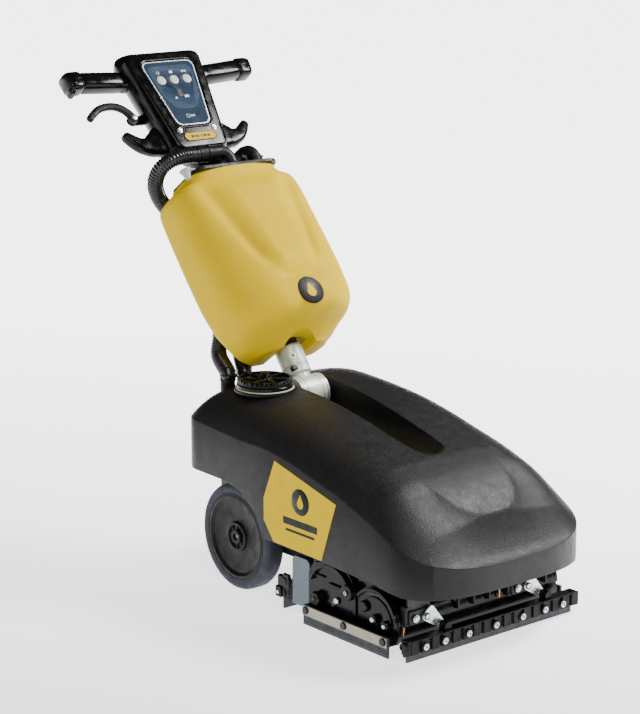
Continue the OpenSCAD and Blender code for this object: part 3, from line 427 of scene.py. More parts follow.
def plan(d, fine=1):
    s = [(HALF - d - CORNER, REAR - d)]
    for a in np.arange(84, -1, -6):
        s.append((HALF - d - CORNER + CORNER * math.cos(math.radians(a)),
                  REAR - d - CORNER + CORNER * math.sin(math.radians(a))))
    for y in np.arange(312, -NOSE, -8):
        s.append((HALF - d, y))
    for a in np.arange(3, 89.9, 3):
        y = -NOSE - (FRONT - d - NOSE) * math.sin(math.radians(a)) ** (2 / 3)
        u = (-y - NOSE) / (FRONT - d - NOSE)
        s.append(((HALF - d) * max(0, 1 - max(u, 0) ** 3) ** (1 / 3), y))
    for k in (0.75, 0.5, 0.25):
        s.append((s[-1][0] * k / (1 if k == 0.75 else k + 0.25), -FRONT + d))
    return s + [(0, -FRONT + d)] + [(-x, y) for x, y in s[::-1]] + [(0, REAR - d)]


def lip(x, y):
    """Crease round the plateau on top of the nose, and the hollow slope below it."""
    if y > -190:
        return 0.0
    q = (abs(x / 95) ** 2.6 + ((-y - 190) / 119) ** 2.6) ** (1 / 2.6)
    t = max(0.0, q - 1) / 0.33
    return -CREASE_DEPTH * t * math.exp(1 - t) * smoothstep((-y - 205) / 60) * smoothstep((2.2 - q) / 0.9)


def shell_geo(d, low):
    loop = plan(d)
    rings = [[(x, y, low) for x, y in loop], [(x, y, low + 20) for x, y in loop]]
    steps = [1, .992, .98, .965, .945] + [.925 - .02 * k for k in range(36)] + [.18, .14, .1, .04]
    for u in steps:
        r = []
        for x, y in loop:
            sy = min(max(y, -230.0), 300.0)
            yy = sy + (y - sy) * u
            c, t = spline(CREASE, yy), 393 + spline(CROWN, yy)
            z = c + (t - c) * (1 - u ** (5.5 - 2.3 * smoothstep((-200 - yy) / 110))) - d
            r.append((x * u, yy, z + lip(x * u, yy)))
        rings.append(r)
    v, f = loft(rings, caps=(True, False))
    n = len(loop)
    top = (len(rings) - 1) * n
    for i in range(n // 2 - 1):
        f.append([top + i, top + i + 1, top + n - 3 - i, top + n - 2 - i] if n - 3 - i != i + 1
                 else [top + i, top + i + 1, top + n - 2 - i])
    f.append([top + n - 1, top, top + n - 2])
    return v, f


def side_prism(points, half=300):
    return [(x, y, z) for x in (-half, half) for y, z in points], \
        [list(range(len(points)))[::-1], [len(points) + i for i in range(len(points))]] + \
        [[i, (i + 1) % len(points), len(points) + (i + 1) % len(points),
            len(points) + i] for i in range(len(points))]


shell = put("shell", shell_geo(0, 100), MACHINE, "charcoal_pe", None, sharp=60)
groove = hull([p for lift in (0, 120) for p in ball((0, 246, 354 + lift), 46) + ball((0, -118, 346 + lift),
    38)])
ramp = hull([p for lift in (0, 120) for p in ball((0, 246, 354 + lift), 46, 24, 12)
             + ball((0, 346, 410 + lift), 46, 24, 12)])
skirt = [(-500, 0), (-500, 134), (-330, 122), (-290, 122), (-222, 130), (-36, 137), (223, 139),
    (223, 226.9),
         (500, 232), (500, 0)]
axle = at(0, AXLE_Y, AXLE_Z, "Y", 90)
cutters = [put("c0", groove, MACHINE, "charcoal_pe", None), put("c1", ramp, MACHINE, "charcoal_pe", None),
           put("c2", side_prism(skirt), MACHINE, "charcoal_pe", None),
           put("c3", lathe([(116, -400), (116, 400)], 96), MACHINE @ axle, "charcoal_pe", None),
           put("c4", shell_geo(5, 90), MACHINE, "charcoal_pe", None),
           put("c5", block(-34.5, 34.5, 220.5, 271.5, 100, 420, 0.1), MACHINE, "charcoal_pe", None)]
inner_low = put("c6", block(-400, 400, -500, 500, 50, 232, 0.1), MACHINE, "charcoal_pe", None)
cut(cutters[4], [inner_low], "INTERSECT")
cut(shell, cutters)
shell.data.shade_smooth()
shell.data.set_sharp_from_angle(angle=math.radians(50))
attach(shell, "base")
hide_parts("solution_tank")

# ---- recovery tank ----
TANK_HALF, TABLE_HALF = 158, 152   # half width now, and in the table below
PANEL_LIFT, PANEL_HOLLOW, CHIN_HOLLOW = 10.5, -7.5, -4.0
T_HALF = [[90, 84], [105, 104], [130, 124], [164, 140], [220, 148], [300, 151], [420, 152], [445, 149],
          [458, 139], [466, 118], [474, 109], [500, 108]]
T_FRONT = [[90, 45], [105, 60], [118, 82], [130, 120], [142, 136], [161, 141], [200, 137], [300, 118],
           [400, 98], [455, 90], [500, 88]]
T_BACK = [[90, -40], [160, -42], [220, -46], [440, -46], [460, -42], [483, -32], [500, -30]]
T_EDGE = [[90, .62], [130, .53], [164, .55], [220, .62], [300, .72], [400, .81], [440, .82], [466, .84],
    [500, .85]]
T_CROWN = [[90, 3], [130, 5], [200, 7], [300, 9], [440, 10], [466, 13], [500, 14]]
T_WAIST = [[90, .32], [130, .45], [200, .42], [300, .40], [440, .38], [466, .4], [500, .4]]
BUMP_W = [[180, 40], [215, 52], [260, 66], [320, 80], [400, 94], [450, 103], [500, 103]]


def tank_ring(s, d):
    a, f, b = (spline(T_HALF, s) * TANK_HALF / TABLE_HALF - d, spline(T_FRONT, s) - d,
        spline(T_BACK, s) + d)
    mid, hd = (f + b) / 2, (f - b) / 2
    e, cr, w = spline(T_EDGE, s), spline(T_CROWN, s), spline(T_WAIST, s)
    pts = [(0, f), (e * a * .5, f - cr * .25), (e * a, f - cr), (a + 1.5, mid + w * hd),
        (a + 1, mid - .35 * hd),
           (a - 6, b - 0.5), (a * .4, b)]
    pts = pts + [(-x, n) for x, n in pts[:0:-1]]
    p = np.array(pts, float)
    for _ in range(4):
        q = np.roll(p, -1, axis=0)
        p = np.stack([.75 * p + .25 * q, .25 * p + .75 * q], 1).reshape(-1, 2)
    out = []
    for x, n in p:
        if n > mid:
            bw = spline(BUMP_W, s)
            r = abs(x) / bw
            tail = smoothstep((s - 208) / 46)
            lift = PANEL_LIFT * tail * smoothstep((462 - s) / 40)
            prof = 1 - smoothstep((r - .45) / .5)
            dip = PANEL_HOLLOW * math.exp(-((r - 1.02) / .18) ** 2) * smoothstep((s - 225) / 60) \
                * smoothstep((470 - s) / 40)
            dip += CHIN_HOLLOW * math.exp(-((s - 205) / 13) ** 2) * (1 - smoothstep((abs(x) - 30) / 26))
            n += lift * prof + dip
        out.append((x, -n, s))
    return out


def tank_geo(d, low, high, step):
    return loft([tank_ring(s, d) for s in np.append(np.arange(low, high, step), high)])


tank = put("tank", tank_geo(0, 90, 483, 4), COLUMN, "yellow_pe", None, sharp=60)
cavity = put("t0", tank_geo(4, 94, 484, 5), COLUMN, "yellow_pe", None)
arch = lathe([(1, -300), (52, -300), (52, 300), (1, 300)], 72)
fat = lathe([(1, -300), (56, -300), (56, 300), (1, 300)], 48)
down = at(0, 0, 60, "X", 90)
cut(cavity, [put("t1", fat, COLUMN @ down, "yellow_pe", None),
             put("t2", block(-34, 34, -34, 300, 0, 600, .1), COLUMN, "yellow_pe", None)])
cut(tank, [put("t3", arch, COLUMN @ down, "yellow_pe", None),
           put("t4", block(-30, 30, -30, 300, -1, 601, .1), COLUMN, "yellow_pe", None), cavity])
tank.data.shade_smooth()
tank.data.set_sharp_from_angle(angle=math.radians(50))
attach(tank, "tank")
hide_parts("recovery_tank")

# ---- badge and labels, with a generic drop mark ----
drop = [(0, 17)] + [(9 * math.sin(math.radians(a)), -4 - 9 * math.cos(math.radians(a)) + 2)
                    for a in range(125, -126, -10)]
BADGE = COLUMN @ at(0, -(spline(T_FRONT, 165) - 1.6), 165, "X", 88)
put("badge", disc(30, -2, 1.7, .6, 64), BADGE, "black_plastic", "tank", replaces=("tank_badge",))
put("badge_drop", prism([(x * 1.15, y * 1.15 - 2) for x, y in drop], 1.7, 2.1), BADGE, "yellow_label",
    "tank")
for side, sx in SIDES:
    P = MACHINE @ Matrix.Translation((sx * LABEL_FACE, 0, 0)) @ Matrix.Rotation(math.radians(90), 4, "Z") \
        @ Matrix.Rotation(math.radians(90), 4, "X")
    if sx < 0:
        P = P @ Matrix.Scale(-1, 4, (0, 0, 1))
    mark = join(moved(disc(26, -.3, .25, .1, 48), at(-8, 238, 0)),
        moved(block(-58, 44, 0, 14, -.3, .25, .2), at(0, 186, 0)),
                moved(block(-50, 36, 0, 5, -.3, .25, .2), at(0, 173, 0)))
    put("label_mark_" + side, mark, P, "black_plastic", "base")
    put("label_drop_" + side, moved(prism([(x, y - 2) for x, y in drop], .25, .5), at(-8, 238, 0)), P,
        "yellow_label", "base")

# ---- wheels ----
for side, sx in SIDES:
    W = MACHINE @ Matrix.Translation((sx * 182, AXLE_Y, AXLE_Z)) @ Matrix.Rotation(math.radians(sx * 90), 4,
        "Y")
    t = [(88, -21), (96, -21), (101.5, -20.2), (105.5, -17.5), (107.6, -13), (108, -8), (108, 8),
        (107.6, 13),
         (105.5, 17.5), (101.5, 20.2), (96, 21), (91, 20.4), (88, 19.4)]
    put(side + "_tread", lathe(t, 144, closed=True), W, "tyre_grey", side + "_wheel",
        replaces=(side + "_tyre",))
    h = [(8.05, -19), (24, -19), (24, -5), (78, -3), (78, -17), (88, -20), (88, 18.6), (85, 20.4),
        (80, 20.6),
         (77, 18.4), (74, 15.5), (60, 13.4), (44, 11.8), (33, 11.4), (30.5, 12.6), (29, 17), (27, 18),
         (24, 17.4),
         (22.5, 13), (8.05, 13)]
    put(side + "_disc", lathe(h, 144, closed=True), W, "black_plastic", side + "_wheel",
        replaces=(side + "_hub",))
    cap = join(lathe([(8.4, 13), (16, 13), (16, 18.5), (14.5, 20), (8.4, 20)], 6, closed=True),
               *[moved(block(17, 28, -1.6, 1.6, 12.4, 16, .4), Matrix.Rotation(math.radians(a), 4, "Z"))
                 for a in range(0, 360, 45)])
    put(side + "_hub_cap", cap, W, "black_plastic", side + "_wheel")
    put(side + "_bead", ring(86.6, 88.6, 19.4, 20.9, 144), W, "tyre_grey", side + "_wheel")

# ---- corrugated hoses: the upper stretch rides on the handle; the middle and lower stretches are not attached to any body
def to_column(x, y, z):
    return tuple(Matrix.Rotation(math.radians(LEAN), 4, "X") @ Vector((x, y - PIVOT_Y, z - PIVOT_Z)))


def hose(name, route, replaces):
    p = curve(route, 40)
    seg = np.linalg.norm(np.diff(p, axis=0), axis=1)
    run = np.concatenate([[0], np.cumsum(seg)])
    pitch, n = 5.6, 6
    total = run[-1]
    k = int(total / pitch) * n
    s = np.linspace(0, total, k + 1)
    pts = np.stack([np.interp(s, run, p[:, i]) for i in range(3)], 1)
    r = 16.9 - 1.9 * (0.5 - 0.5 * np.cos(2 * np.pi * s * (int(total / pitch)) / total)) ** 0.7
    r[s < 3] = 16.9
    zc = pts[:, 2]
    cuts = [0, int(np.argmax(zc < 300)), int(np.argmax(zc < 150)), k]
    out = []
    for j, tag in enumerate(("upper", "middle", "lower")):
        a, b = cuts[j], cuts[j + 1] + 1
        out.append(put(f"{name}_{tag}", sweep(pts[a:b], oval(1, 1, 28), [(q, q) for q in r[a:b]],
            up=(.1, .2, 1)),
                       COLUMN, "hose_rubber", None, sharp=80))
    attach(out[0], "handle")
    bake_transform(out[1])
    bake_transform(out[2])
    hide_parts(replaces)


hose_ends = [SOCKET_TOP + 16, SOCKET_TOP + 4, SOCKET_TOP + .3]
hose("dirty_hose", [[-66, -50, 533.3], [-92, -50, 534], [-122, -43, 532], [-143, -20, 524], [-144, 12, 509],
     [-126, 42, 489], [-100, 62, 465], [-78, 72, 432], [-66, 76, 390], [-60, 76, 320], [-64, 77, 250],
     [-82, 80, 190], [-102, 87, 146]] + [to_column(-118, 352, z) for z in hose_ends], "dirty_water_hose")
hose("suction_hose", [[74, -14, 533.3], [74, 6, 532], [72, 40, 526], [68, 66, 506], [62, 78, 470],
    [50, 80, 420],
     [34, 80, 360], [16, 80, 300], [-4, 80, 235], [-26, 82, 190], [-46, 88, 146]]
     + [to_column(-76, 352, z) for z in hose_ends], "air_hose")

# ---- column details ----
put("collar_seams", join(*[ring(27.5, 28.8, s, s + .9, 64) for s in (56.5, 97.5)]), COLUMN, "seam_dark",
    "handle")
put("set_screw", moved(join(disc(5, 0, 1.4, .4, 24), ring(5.4, 6.4, 0, .5, 24)), at(-14, -24.6, 76, "X", 90)
                       @ Matrix.Rotation(math.radians(-30), 4, "Y")), COLUMN, "zinc", "handle")
# painted shade: a dark hex disc on the set screw head stands in for the shade inside its socket
put("set_screw_socket_shade", moved(disc(2.5, 1.2, 1.6, .1, 6), at(-14, -24.6, 76, "X", 90)
                              @ Matrix.Rotation(math.radians(-30), 4, "Y")), COLUMN, "seam_dark", "handle")
put("barrel_rings", moved(join(*[ring(35.4, 36.25, x, x + 1.1, 96) for x in (-19, 17.9)]),
                          Matrix.Rotation(math.radians(90), 4, "Y")), COLUMN, "seam_dark", "column")
put("clevis_rings", moved(join(*[ring(35.4, 36.25, x, x + 1, 96) for x in (-30, 29)]),
    at(0, PIVOT_Y, PIVOT_Z, "Y", 90)),
    MACHINE, "seam_dark", "base")
put("pin_caps", join(*[moved(join(disc(13, 0, 1.8, .7, 40), disc(6, 1.8, 3, .4, 6)),
                             at(sx * 34.3, PIVOT_Y, PIVOT_Z, "Y", sx * 90)) for sx in (-1, 1)]), MACHINE,
                             "pale_casting", "base")
put("neck_stop", moved(block(-7, 7, -5, 5, -4, 5, 1), at(-20, -20, 49)), COLUMN, "black_plastic", "column")

# ---- lid ----
lid = rounded([(107.5, 29.5), (107.5, -85.5), (-107.5, -85.5), (-107.5, 29.5)], 23)
put("lid_rim", loft([[(x * k, y * k + (k - 1) * 28, z) for x, y in lid] for k, z in
                     ((.955, 489.2), (.955, 491.6), (.93, 492.4), (.90, 492.4), (.88, 491.4),
                     (.88, 489.2))],
                    closed=True), COLUMN, "black_plastic", "handle")
put("cuff_ribs", join(*[moved(ring(17, 18.4, z, z + 2, 40),
    at(12 - 22 - 56, -50, 533.3, "Y", 90)) for z in (1, 24)],
                      *[moved(ring(14.9, 16.6, z, z + 2, 40), at(x, -50, 489.3)) for x in (12,
                      74) for z in (6, 11)]),
    COLUMN, "black_plastic", "handle")
put("hose_clip", moved(join(ring(14.9, 16.2, 0, 6, 40), block(14, 22, -5, 5, 0, 6, 1)), at(74, -50, 508)),
    COLUMN,
    "black_plastic", "handle")
put("funnel_lip", moved(ring(9.5, 12.2, -3, .4, 40), at(-126, -72, 491.4)), COLUMN, "funnel_grey", "handle")

# ---- console ----
FH = 120.0
def trap(g, r=20.0, top=98.0, low=64.0, hi=None, lo=None):
    hi = FH + g if hi is None else hi
    lo = -FH - g / 2 if lo is None else lo
    return rounded([(top + g, hi), (-top - g, hi), (-low - g, lo), (low + g, lo)], r + g * .5, 10)


prof = [(-9, 0), (-6, -.2), (-3.5, -1.1), (-1.2, -3), (1, -5.5), (4.5, -13), (7.6, -21), (9.6, -28),
    (10, -32),
        (9, -38), (6.5, -46), (3.4, -53), (1.2, -55.6), (-3, -56)]
loops = [[(x, y, z) for x, y in trap(g)] for g, z in prof]
body = loft(loops)
stem = hull([p for z in (520, 524) for p in
             [tuple(FACE.inverted() @ COLUMN @ Vector((29 * math.cos(t), 29 * math.sin(t), z)))
              for t in np.linspace(0, 2 * math.pi, 48, endpoint=False)]]
            + [(x, y, z) for x, y in ((50, -122), (-50, -122), (50, -116), (-50, -116)) for z in (-48, -4)])
lug = join(moved(disc(11, 0, 5.5, .8), at(-112, -15, -52)),
    moved(block(0, 40, -11, 11, 0, 5.5, .8), at(-112, -15, -52)),
           moved(disc(4, -1, 20, .6, 24), at(-112, -15, -52)))
put("console_body", join(body, stem, lug), FACE, "gloss_black", "handle", replaces=("console_housing",),
    sharp=40)
put("console_bezel", loft([[(x, y, z) for x, y in rounded([(75 - k, 101 - k), (-75 + k, 101 - k),
    (-48 + k, -73 + k),
    (48 - k, -73 + k)], 19)] for k, z in ((0, -.4), (0, 1.1), (2, 2), (4.4, 1.4), (5.6, .2), (5.6, -.4))],
    closed=True), FACE, "gloss_black", "handle")
put("panel_outline", loft([[(x, y, z) for x, y in rounded([(68 - k, 94 - k), (-68 + k, 94 - k),
    (-42 + k, -66 + k),
    (42 - k, -66 + k)], 17)] for k, z in ((0, .1), (0, 1.15), (2.2, 1.15), (2.2, .1))], closed=True), FACE,
    "silver_ink", "handle")
zone = rounded([(58, 83), (-58, 83), (-46, 4), (-24, -26), (24, -26), (46, 4)], [17, 17, 24, 15, 15, 24], 8)
holes = [put("z%d" % i, lathe([(.5, -2), (11.3, -2), (11.3, 3), (.5, 3)], 40), FACE @ at(x, BUTTON_Y, 0),
    "zone_blue", None)
         for i, (tag, x) in enumerate(BUTTONS)]
zone_piece = put("panel_zone", prism(zone, .7, 1.05), FACE, "zone_blue", None)
cut(zone_piece, holes)
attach(zone_piece, "handle")
icons = join(
    moved(ring(2.4, 3.6, .95, 1.3, 24), at(-34, 66, 0)),
    moved(block(-.7, .7, -5, -2, .95, 1.3, .1), at(-34, 66, 0)),
    moved(prism([(-4, -3), (4, -3), (5, 1), (2, 4), (-3, 3)], .95, 1.3), at(-1, 66, 0)),
    *[moved(block(-6 + 4.5 * k, -3 + 4.5 * k, -2.5, 2.5, .95, 1.3, .2), at(32, 66, 0)) for k in range(3)],
    moved(prism([(-4, -3), (3, -3), (0, 4)], .95, 1.3), at(-15, 2, 0)),
    moved(block(-1, 10, -3, 3, .95, 1.3, .2), at(8, 4, 0)),
    moved(ring(3.4, 4.4, .75, 1.1, 28), at(-7, -44, 0)), moved(ring(1.6, 2.6, .75, 1.1, 24), at(1, -44, 0)),
    moved(block(4, 10, -2.5, -1, .75, 1.1, .1), at(0, -44, 0)),
    moved(block(4, 10, .5, 2, .75, 1.1, .1), at(0, -44, 0)))
put("panel_icons", icons, FACE, "icon_pale", "handle")
put("meter_window", join(block(-7, 5, 4, 22, .9, 1.6, .3)), FACE, "seam_dark", "handle")
put("button_dots", join(*[moved(disc(1.4, .9, 1.5, .2, 16), at(x, 30, 0)) for tag, x in BUTTONS]), FACE,
    "seam_dark",
    "handle")
for tag, x in BUTTONS:
    put("button_face_" + tag, lathe([(0.2, 3.0), (6, 2.95), (8.6, 2.6), (9.4, 2.2), (10.2, 2.1),
        (10.8, 1.4), (11, .4),
        (11, -4), (0.2, -4)], 48), FACE @ at(x, BUTTON_Y, 0), "button_ivory", "button_" + tag,
        replaces=("button_" + tag,))
for i, sx in enumerate((-1, 1)):
    P = FACE @ at(sx * 44, -77, 0)
    put(f"hex_screw_{i}", join(disc(6.4, -.2, .8, .3, 32),
        lathe([(4.8, .8), (4.8, 3.4), (4, 4), (2, 4), (1.8, 2.4),
        (.2, 2.4)], 6)), P, "zinc", "handle")
pill = rounded([(39, 9), (-39, 9), (-39, -9), (39, -9)], 8.9, 10)
put("plate_rim", loft([[(x * k, y * j, z) for x, y in pill] for k, j, z in
    ((1.03, 1.1, -.3), (1.03, 1.1, 1.3), (1.0, 1.0, 1.7), (1.0, 1.0, -.3))], closed=True),
    FACE @ at(0, -95, 0),
    "gloss_black", "handle")
put("plate_mark", join(*[block(x, x + w, -3, 3, 1.2, 1.62, .2) for x,
    w in ((-24, 9), (-13, 9), (1, 4), (7, 9), (18, 6))]),
    FACE @ at(0, -95, 0), "seam_dark", "handle")

# ---- grips, hooks and lever ----
GY = 768 - CONSOLE_S
for tag, sx in SIDES:
    R = FACE @ at(sx * 96, GY, -42) @ Matrix.Rotation(math.radians(sx * 4), 4, "Z")
    xs = [60, 84, 99, 103, 107, 114, 150, 196, 201, 204]
    rr = [1, 1, 1.02, .98, .93, 1, 1, 1, .97, .9]
    g = sweep([(sx * (x - 96), 0, 0) for x in xs], oval(20.6, 19.4, 44, 3.0), [(r, r) for r in rr])
    cap = [((x - 96) * sx, y, 0) for x, y in ((203, 0), (206, 0), (210, -.4), (224, -1.4), (232, -2.4),
        (236, -3.1), (238.2, -3.6))]
    c = sweep(cap, oval(21.8, 20.4, 44, 4.2), [(.9, .9), (.99, .98), (1.02, 1.0), (1.02, 1.0), (.99, .97),
        (.9, .9), (.7, .74)])
    slot = join(moved(block(-11, 11, -2.2, 2.2, 18.6, 21, .6), at(sx * 120, 3, 0)),
        moved(disc(4.2, 18.6, 21.4, .8, 28), at(sx * 128, -9, 0)))
    tip = sweep([(sx * 130, -10, 0), (sx * 132, -18, 0), (sx * 133.5, -25, 0), (sx * 134, -31, 0)],
        oval(8, 15, 24, 3.4),
                [(1, 1), (1, 1), (.9, .92), (.6, .7)])
    put("grip_" + tag, join(g, c, slot, *([tip] if sx < 0 else [])), R, "gloss_black", "handle",
        replaces=(("handlebar",) if sx < 0 else ()), sharp=40)
    path = curve([(sx * 48, -80, -33), (sx * 72, -81, -34), (sx * 92, -85, -35), (sx * 110, -87, -36),
        (sx * 128, -82, -36),
                  (sx * 144, -69, -36), (sx * 158, -53, -36)], 10)
    n = len(path)
    k = np.interp(np.arange(n) / (n - 1), [0, .2, .38, .55, .7, .85, 1], [38, 36, 27, 19, 15, 12, 8.4])
    h = np.interp(np.arange(n) / (n - 1), [0, .4, 1], [17, 13, 10])
    e = taper(n, 1, .45)
    put("hook_" + tag, sweep(path, oval(1, 1, 36, 3.2),
        [(wide * end, deep * end) for wide, end, deep in zip(k, e, h)]),
        FACE, "gloss_black", "handle", replaces=(("cable_hooks",) if sx < 0 else ()), sharp=50)
path = curve([(-112, -15, -40), (-119, 0, -40), (-134, 14, -40), (-156, 20, -40), (-184, 16, -40),
    (-206, 3, -40),
              (-220, -9, -40)], 10)
n = len(path)
k = np.interp(np.arange(n) / (n - 1), [0, .2, .5, 1], [1.25, 1.1, 1, .92])
root = lathe([(4.06, -6), (9.4, -6), (10, -5.2), (10, 5.2), (9.4, 6), (4.06, 6)], 36, closed=True)
put("squeeze_lever", join(moved(root, at(-112, -15, -40)), sweep(path[4:], oval(8.4, 6, 24, 2.6),
    [(a * b, min(1, a) * b) for a, b in zip(k, taper(n, 1, .35))][4:], up=(0, 0, 1))), FACE,
    "black_plastic",
    "drive_lever", replaces=("drive_lever",), sharp=50)
put("lever_screw", moved(join(disc(6.5, 6.3, 8.6, .8, 32)), at(-112, -15, -40)), FACE, "zinc", "handle")

# ---- fill cap ----
CAP = MACHINE @ at(-104, 248, 396.6)
spokes = [moved(block(-50, 50, -4.5, 4.5, 11, 16.6, 1.5),
    Matrix.Rotation(math.radians(a), 4, "Z")) for a in (20, 80, 140)]
cap_ribs = [moved(block(52.6, 55.4, -2, 2, 8.4, 17.4, .9), Matrix.Rotation(math.radians(a), 4, "Z"))
          for a in range(0, 360, 10)]
put("cap_body", join(lathe([(48.3, 0), (56, 0), (57, 1), (57, 6), (56, 7.2), (54, 7.8), (54, 17),
    (53, 18.6),
    (51, 19), (49.4, 18.4), (48.6, 16), (47.6, 12), (44, 11.2), (.3, 11.2), (.3, 9.6), (48.3, 9.6)], 96,
    closed=True),
    *spokes, *cap_ribs, lathe([(.3, 11), (15, 11), (14, 16), (12.6, 18), (9.6, 18.6), (9, 19.5), (9, 26),
    (8, 28), (.3, 28)], 48)),
    CAP, "gloss_black", "fill_cap", replaces=("fill_cap",))
put("cap_bead", moved(lathe([(57.2, 392), (58.6, 392.4), (58.8, 393.4), (58.2, 394.2), (57.2, 394.3)], 96,
    closed=True),
    at(-104, 248, 2.2)), MACHINE, "gasket_ivory", "cap_gasket")

# ---- deck details, mirrored to both sides ----
def arc(y, z, r0, r1, a0, a1, x0, x1, n=24):
    t = [math.radians(a0 + (a1 - a0) * i / n) for i in range(n + 1)]
    o = [(y + r1 * math.cos(a), z + r1 * math.sin(a)) for a in t] + \
        [(y + r0 * math.cos(a), z + r0 * math.sin(a)) for a in t[::-1]]
    m = len(o)
    return loft([[(x0, p, q) for p, q in o], [(x1, p, q) for p, q in o]])


def across(g, sx):
    return [(sx * x, y, z) for x, y, z in g[0]], g[1]


for side, sx in SIDES:
    X = DECK_FACE
    ribs = join(arc(-80, 64, 60, 64, 22, 150, X - 1, X + 7), arc(-205, 52, 58, 63, 40, 178, X - 1, X + 6),
                arc(-205, 52, 44, 47, 50, 170, X - 1, X + 3),
                block(X - 1, X + 5, -132, -72, 88, 92.5, 1), block(X - 1, X + 4, -152, -146, 40, 96, 1),
                block(X - 1, X + 4, -60, -20, 98, 101, .8),
                moved(lathe([(15, -1), (16, 2), (16, 8), (13, 12.5), (.3, 12.5)], 40),
                at(X, -134, 90, "Y", 90)),
                moved(lathe([(10, -1), (10, 6), (8, 9), (.3, 9)], 32), at(X, -238, 52, "Y", 90)),
                moved(lathe([(11, -1), (11, 5), (9, 7), (.3, 7)], 32), at(X, -176, 74, "Y", 90)))
    put("deck_ribs_" + side, across(ribs, sx), MACHINE, "gloss_black", "base", sharp=40)
    heads = [(X + 12.5, -134, 90, 4.6), (X + 9, -238, 52, 4.4), (X + 9.2, -206, 57, 5.2),
        (X + 3.4, -96, 62, 6.6)]
    bolts = join(*[moved(lathe([(r, -.5), (r, 1.4), (r * .8, 2.4), (r * .55, 2.4), (r * .5, 1.2),
        (.2, 1.2)], 6 if r > 6 else 24),
                         at(x, y, z, "Y", 90)) for x, y, z, r in heads])
    put("deck_bolts_" + side, across(bolts, sx), MACHINE, "zinc", "base")
    put("deck_arch_gap_" + side, across(arc(-205, 52, 50, 54, 60, 160, X - 1, X + 1.2), sx), MACHINE,
        "seam_dark", "base")
    put("strip_washers_" + side, across(join(*[moved(ring(4, 8.2, -.2, .8, 32), at(228.4, y, 30, "Y", 90))
        for y in STRIP_SCREWS]), sx), MACHINE, "black_frame", "base")
    put("blade_ribs_" + side, across(join(*[block(225.9, 226.6, -263, -21, z, z + .8, .1) for z in (7,
        12)]), sx), MACHINE,
        "squeegee_rubber", "base")
    knob = join(*[moved(block(11.6, 14.2, -2.4, 2.4, 3, 13, .9),
        Matrix.Rotation(math.radians(a), 4, "Z")) for a in range(30, 390, 60)],
              lathe([(6, 13.6), (6, 15), (4.4, 15.6), (.3, 15.6)], 6))
    put("knob_grip_" + side, across(moved(knob, at(204.6, -43, 54, "Y", 90)), sx), MACHINE, "gloss_black",
        "brush_knobs")

# ---- front squeegee details ----
ribs = [block(x - 1.2, x + 1.2, BAR_FACE - .2, BAR_FACE + 14, 16, 42.3, .4) for x in np.arange(-209, 212,
    13)]
rails = [block(-213, 213, BAR_FACE + .6, BAR_FACE + 6, 39.4, 42.8, .8),
    block(-213, 213, BAR_FACE + 1.6, BAR_FACE + 6, 33.4, 35, .5),
         block(-214, 214, -297.6, -290.4, 9, 16.4, .8)]
bosses = [moved(lathe([(8.6, -1), (8.6, 3.4), (7.4, 4.6), (5.5, 4.8), (.3, 4.8)], 32),
    at(x, BAR_FACE + 1, BAR_BOLT_Z, "X", 90))
          for x in BAR_BOLTS]
bar_ends = [block(sx * 214 - 5, sx * 214 + 5, BAR_FACE + 1, -292, 15, 44.5, 1.5) for sx in (-1, 1)]
put("bar_ribs", join(*ribs, *rails, *bosses, *bar_ends), MACHINE, "black_plastic", "front_squeegee",
    sharp=40)
put("bar_bolts", join(*[moved(join(ring(2.6, 6.2, -.4, 1.6, 32), disc(5, 1, 3, .8, 32),
    disc(2, 2.8, 3.2, .1, 6)),
    at(x, BAR_FACE - 3.2, BAR_BOLT_Z, "X", 90)) for x in BAR_BOLTS]), MACHINE, "zinc", "front_squeegee",
    replaces=("front_squeegee_bolts",))
# painted shade: dark hex discs on the bolt heads stand in for the shade inside their sockets
put("bar_bolt_socket_shade", join(*[moved(disc(2.4, 3.0, 3.5, .1, 6), at(x, BAR_FACE - 3.2, BAR_BOLT_Z, "X", 90))
    for x in BAR_BOLTS]), MACHINE, "seam_dark", "front_squeegee")
for i, x in enumerate(ARM_X):
    put(f"link_bolts_{i}", join(*[moved(join(ring(3, 7.2, -.4, 1.6, 32), disc(5.6, 1, 4.2, 1, 32)),
        at(px, -286.6 if px == x else -285.4, 72, "X", 90))
        for px in (x, x - 25)]), MACHINE, "zinc", "base")
    put(f"arm_bolt_{i}", moved(join(ring(3, 8, 0, 1.4, 32),
        lathe([(7.2, 1.4), (7.2, 6), (6, 7.4), (.2, 7.4)], 6)),
        at(x + 37, -286.9, 49, "X", 90)), MACHINE, "zinc", "front_squeegee")
    put(f"link_bracket_{i}", join(block(x - 38, x + 16, -281.6, -278.2, 60, 87, 2),
        block(x - 44, x - 30, -278, -262, 58, 96, 2)),
        MACHINE, "black_frame", "base")
    put(f"arm_rib_{i}", moved(join(block(4, 30, -2, 2, .2, 1.2, .4)), at(x, -286.5, 72, "X", 90) @
        Matrix.Rotation(math.radians(-32), 4, "Z")), MACHINE, "zinc", "front_arm_" + ("right", "left")[i])
for i, (x, z0, z1) in enumerate(((-196, 40, 58), (46, 60, 112))):
    put(f"copper_rod_{i}", moved(disc(2, 0, z1 - z0, .3, 20), at(x, -274, z0)), MACHINE, "copper", "base")
put("front_grille", join(*[block(x - 2, x + 2, -276, -270, 62, 128, .6) for x in (-60, -20, 20, 70, 170)],
    block(-186, 186, -277, -271, 96, 104, 1), block(-186, 186, -276, -270, 118, 126, 1)), MACHINE,
    "black_frame", "base")

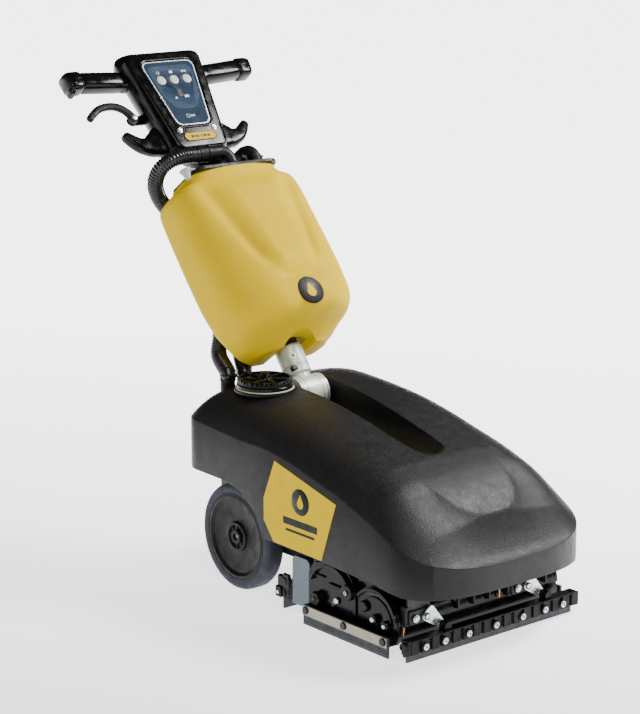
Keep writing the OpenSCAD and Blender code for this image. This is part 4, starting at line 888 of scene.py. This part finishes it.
# ---- rear squeegee details ----
fins = [block(x - 1.5, x + 1.5, 59, 85, 23, 53, .5) for x in np.arange(-192, 196, 24)]
put("rear_bar_ribs", join(*fins, block(-196, 196, 58.6, 63, 46, 52, .8),
    block(-197, 197, 80, 85.4, 34, 38, .8)), MACHINE,
    "black_plastic", "rear_squeegee", sharp=40)
for side, sx in SIDES:
    e = join(block(192, 202, 56, 90, 26, 66, 2), block(198, 205, 50, 70, 44, 74, 2),
        block(200, 206, 74, 92, 22, 44, 1.5),
             moved(lathe([(9, 0), (9, 5), (7, 7), (.3, 7)], 32), at(200, 64, 58, "Y", 90)))
    put("rear_bar_end_" + side, across(e, sx), MACHINE, "gloss_black", "rear_squeegee", sharp=40)
    put("rear_end_bolt_" + side, across(moved(disc(4, 0, 2.2, .6, 6), at(205.6, 83, 32, "Y", 90)), sx),
        MACHINE, "zinc",
        "rear_squeegee")

# ---- stage and light ----
bpy.ops.mesh.primitive_plane_add(size=80, location=(0, 0, 0))
floor = bpy.context.object
floor.name = "floor"
fm = mat("floor_pale", (0.86, 0.86, 0.86), 0.75, vary=0.012, blotch=2, grain=40, bump=0.02)
floor.data.materials.append(fm)
nt = fm.node_tree
glow = nt.nodes["Principled BSDF"]
glow.inputs["Emission Color"].default_value = (0.98, 0.99, 1.0, 1)
where = nt.nodes.new("ShaderNodeTexCoord")
# the floor glows more towards the back left, so that it reads as a bright studio sweep
along = nt.nodes.new("ShaderNodeVectorMath")
along.operation = "DOT_PRODUCT"
along.inputs[1].default_value = (0.64, 0.77, 0)
grow = nt.nodes.new("ShaderNodeMapRange")
for key, v in (("From Min", -1.0), ("From Max", 2.6), ("To Min", 1.1), ("To Max", 4.6)):
    grow.inputs[key].default_value = v
nt.links.new(where.outputs["Object"], along.inputs[0])
nt.links.new(along.outputs["Value"], grow.inputs["Value"])
nt.links.new(grow.outputs["Result"], glow.inputs["Emission Strength"])
world = bpy.data.worlds.new("studio")
bpy.context.scene.world = world
world.use_nodes = True
bg = world.node_tree.nodes["Background"]
bg.inputs["Color"].default_value = (0.97, 0.985, 1.0, 1)
bg.inputs["Strength"].default_value = 0.08


def light(name, loc, target, size, power, color=(1, 1, 1)):
    d = bpy.data.lights.new(name, "AREA")
    d.shape = "RECTANGLE"
    d.size, d.size_y = size
    d.energy = power
    d.color = color
    o = bpy.data.objects.new(name, d)
    bpy.context.scene.collection.objects.link(o)
    o.location = loc
    o.rotation_euler = (Vector(target) - Vector(loc)).to_track_quat("-Z", "Y").to_euler()


light("key", (-1.3, -2.1, 3.0), (0, 0, .4), (1.7, 1.7), 62, (1, .975, .92))
light("rim", (1.6, -.7, 2.3), (0, -.5, .25), (.9, .9), 115)
light("side", (-2.6, 1.0, 1.1), (0, .1, .5), (.5, 1.8), 10)
light("front", (1.1, -2.8, 1.0), (0, -.3, .2), (1.6, .6), 18)
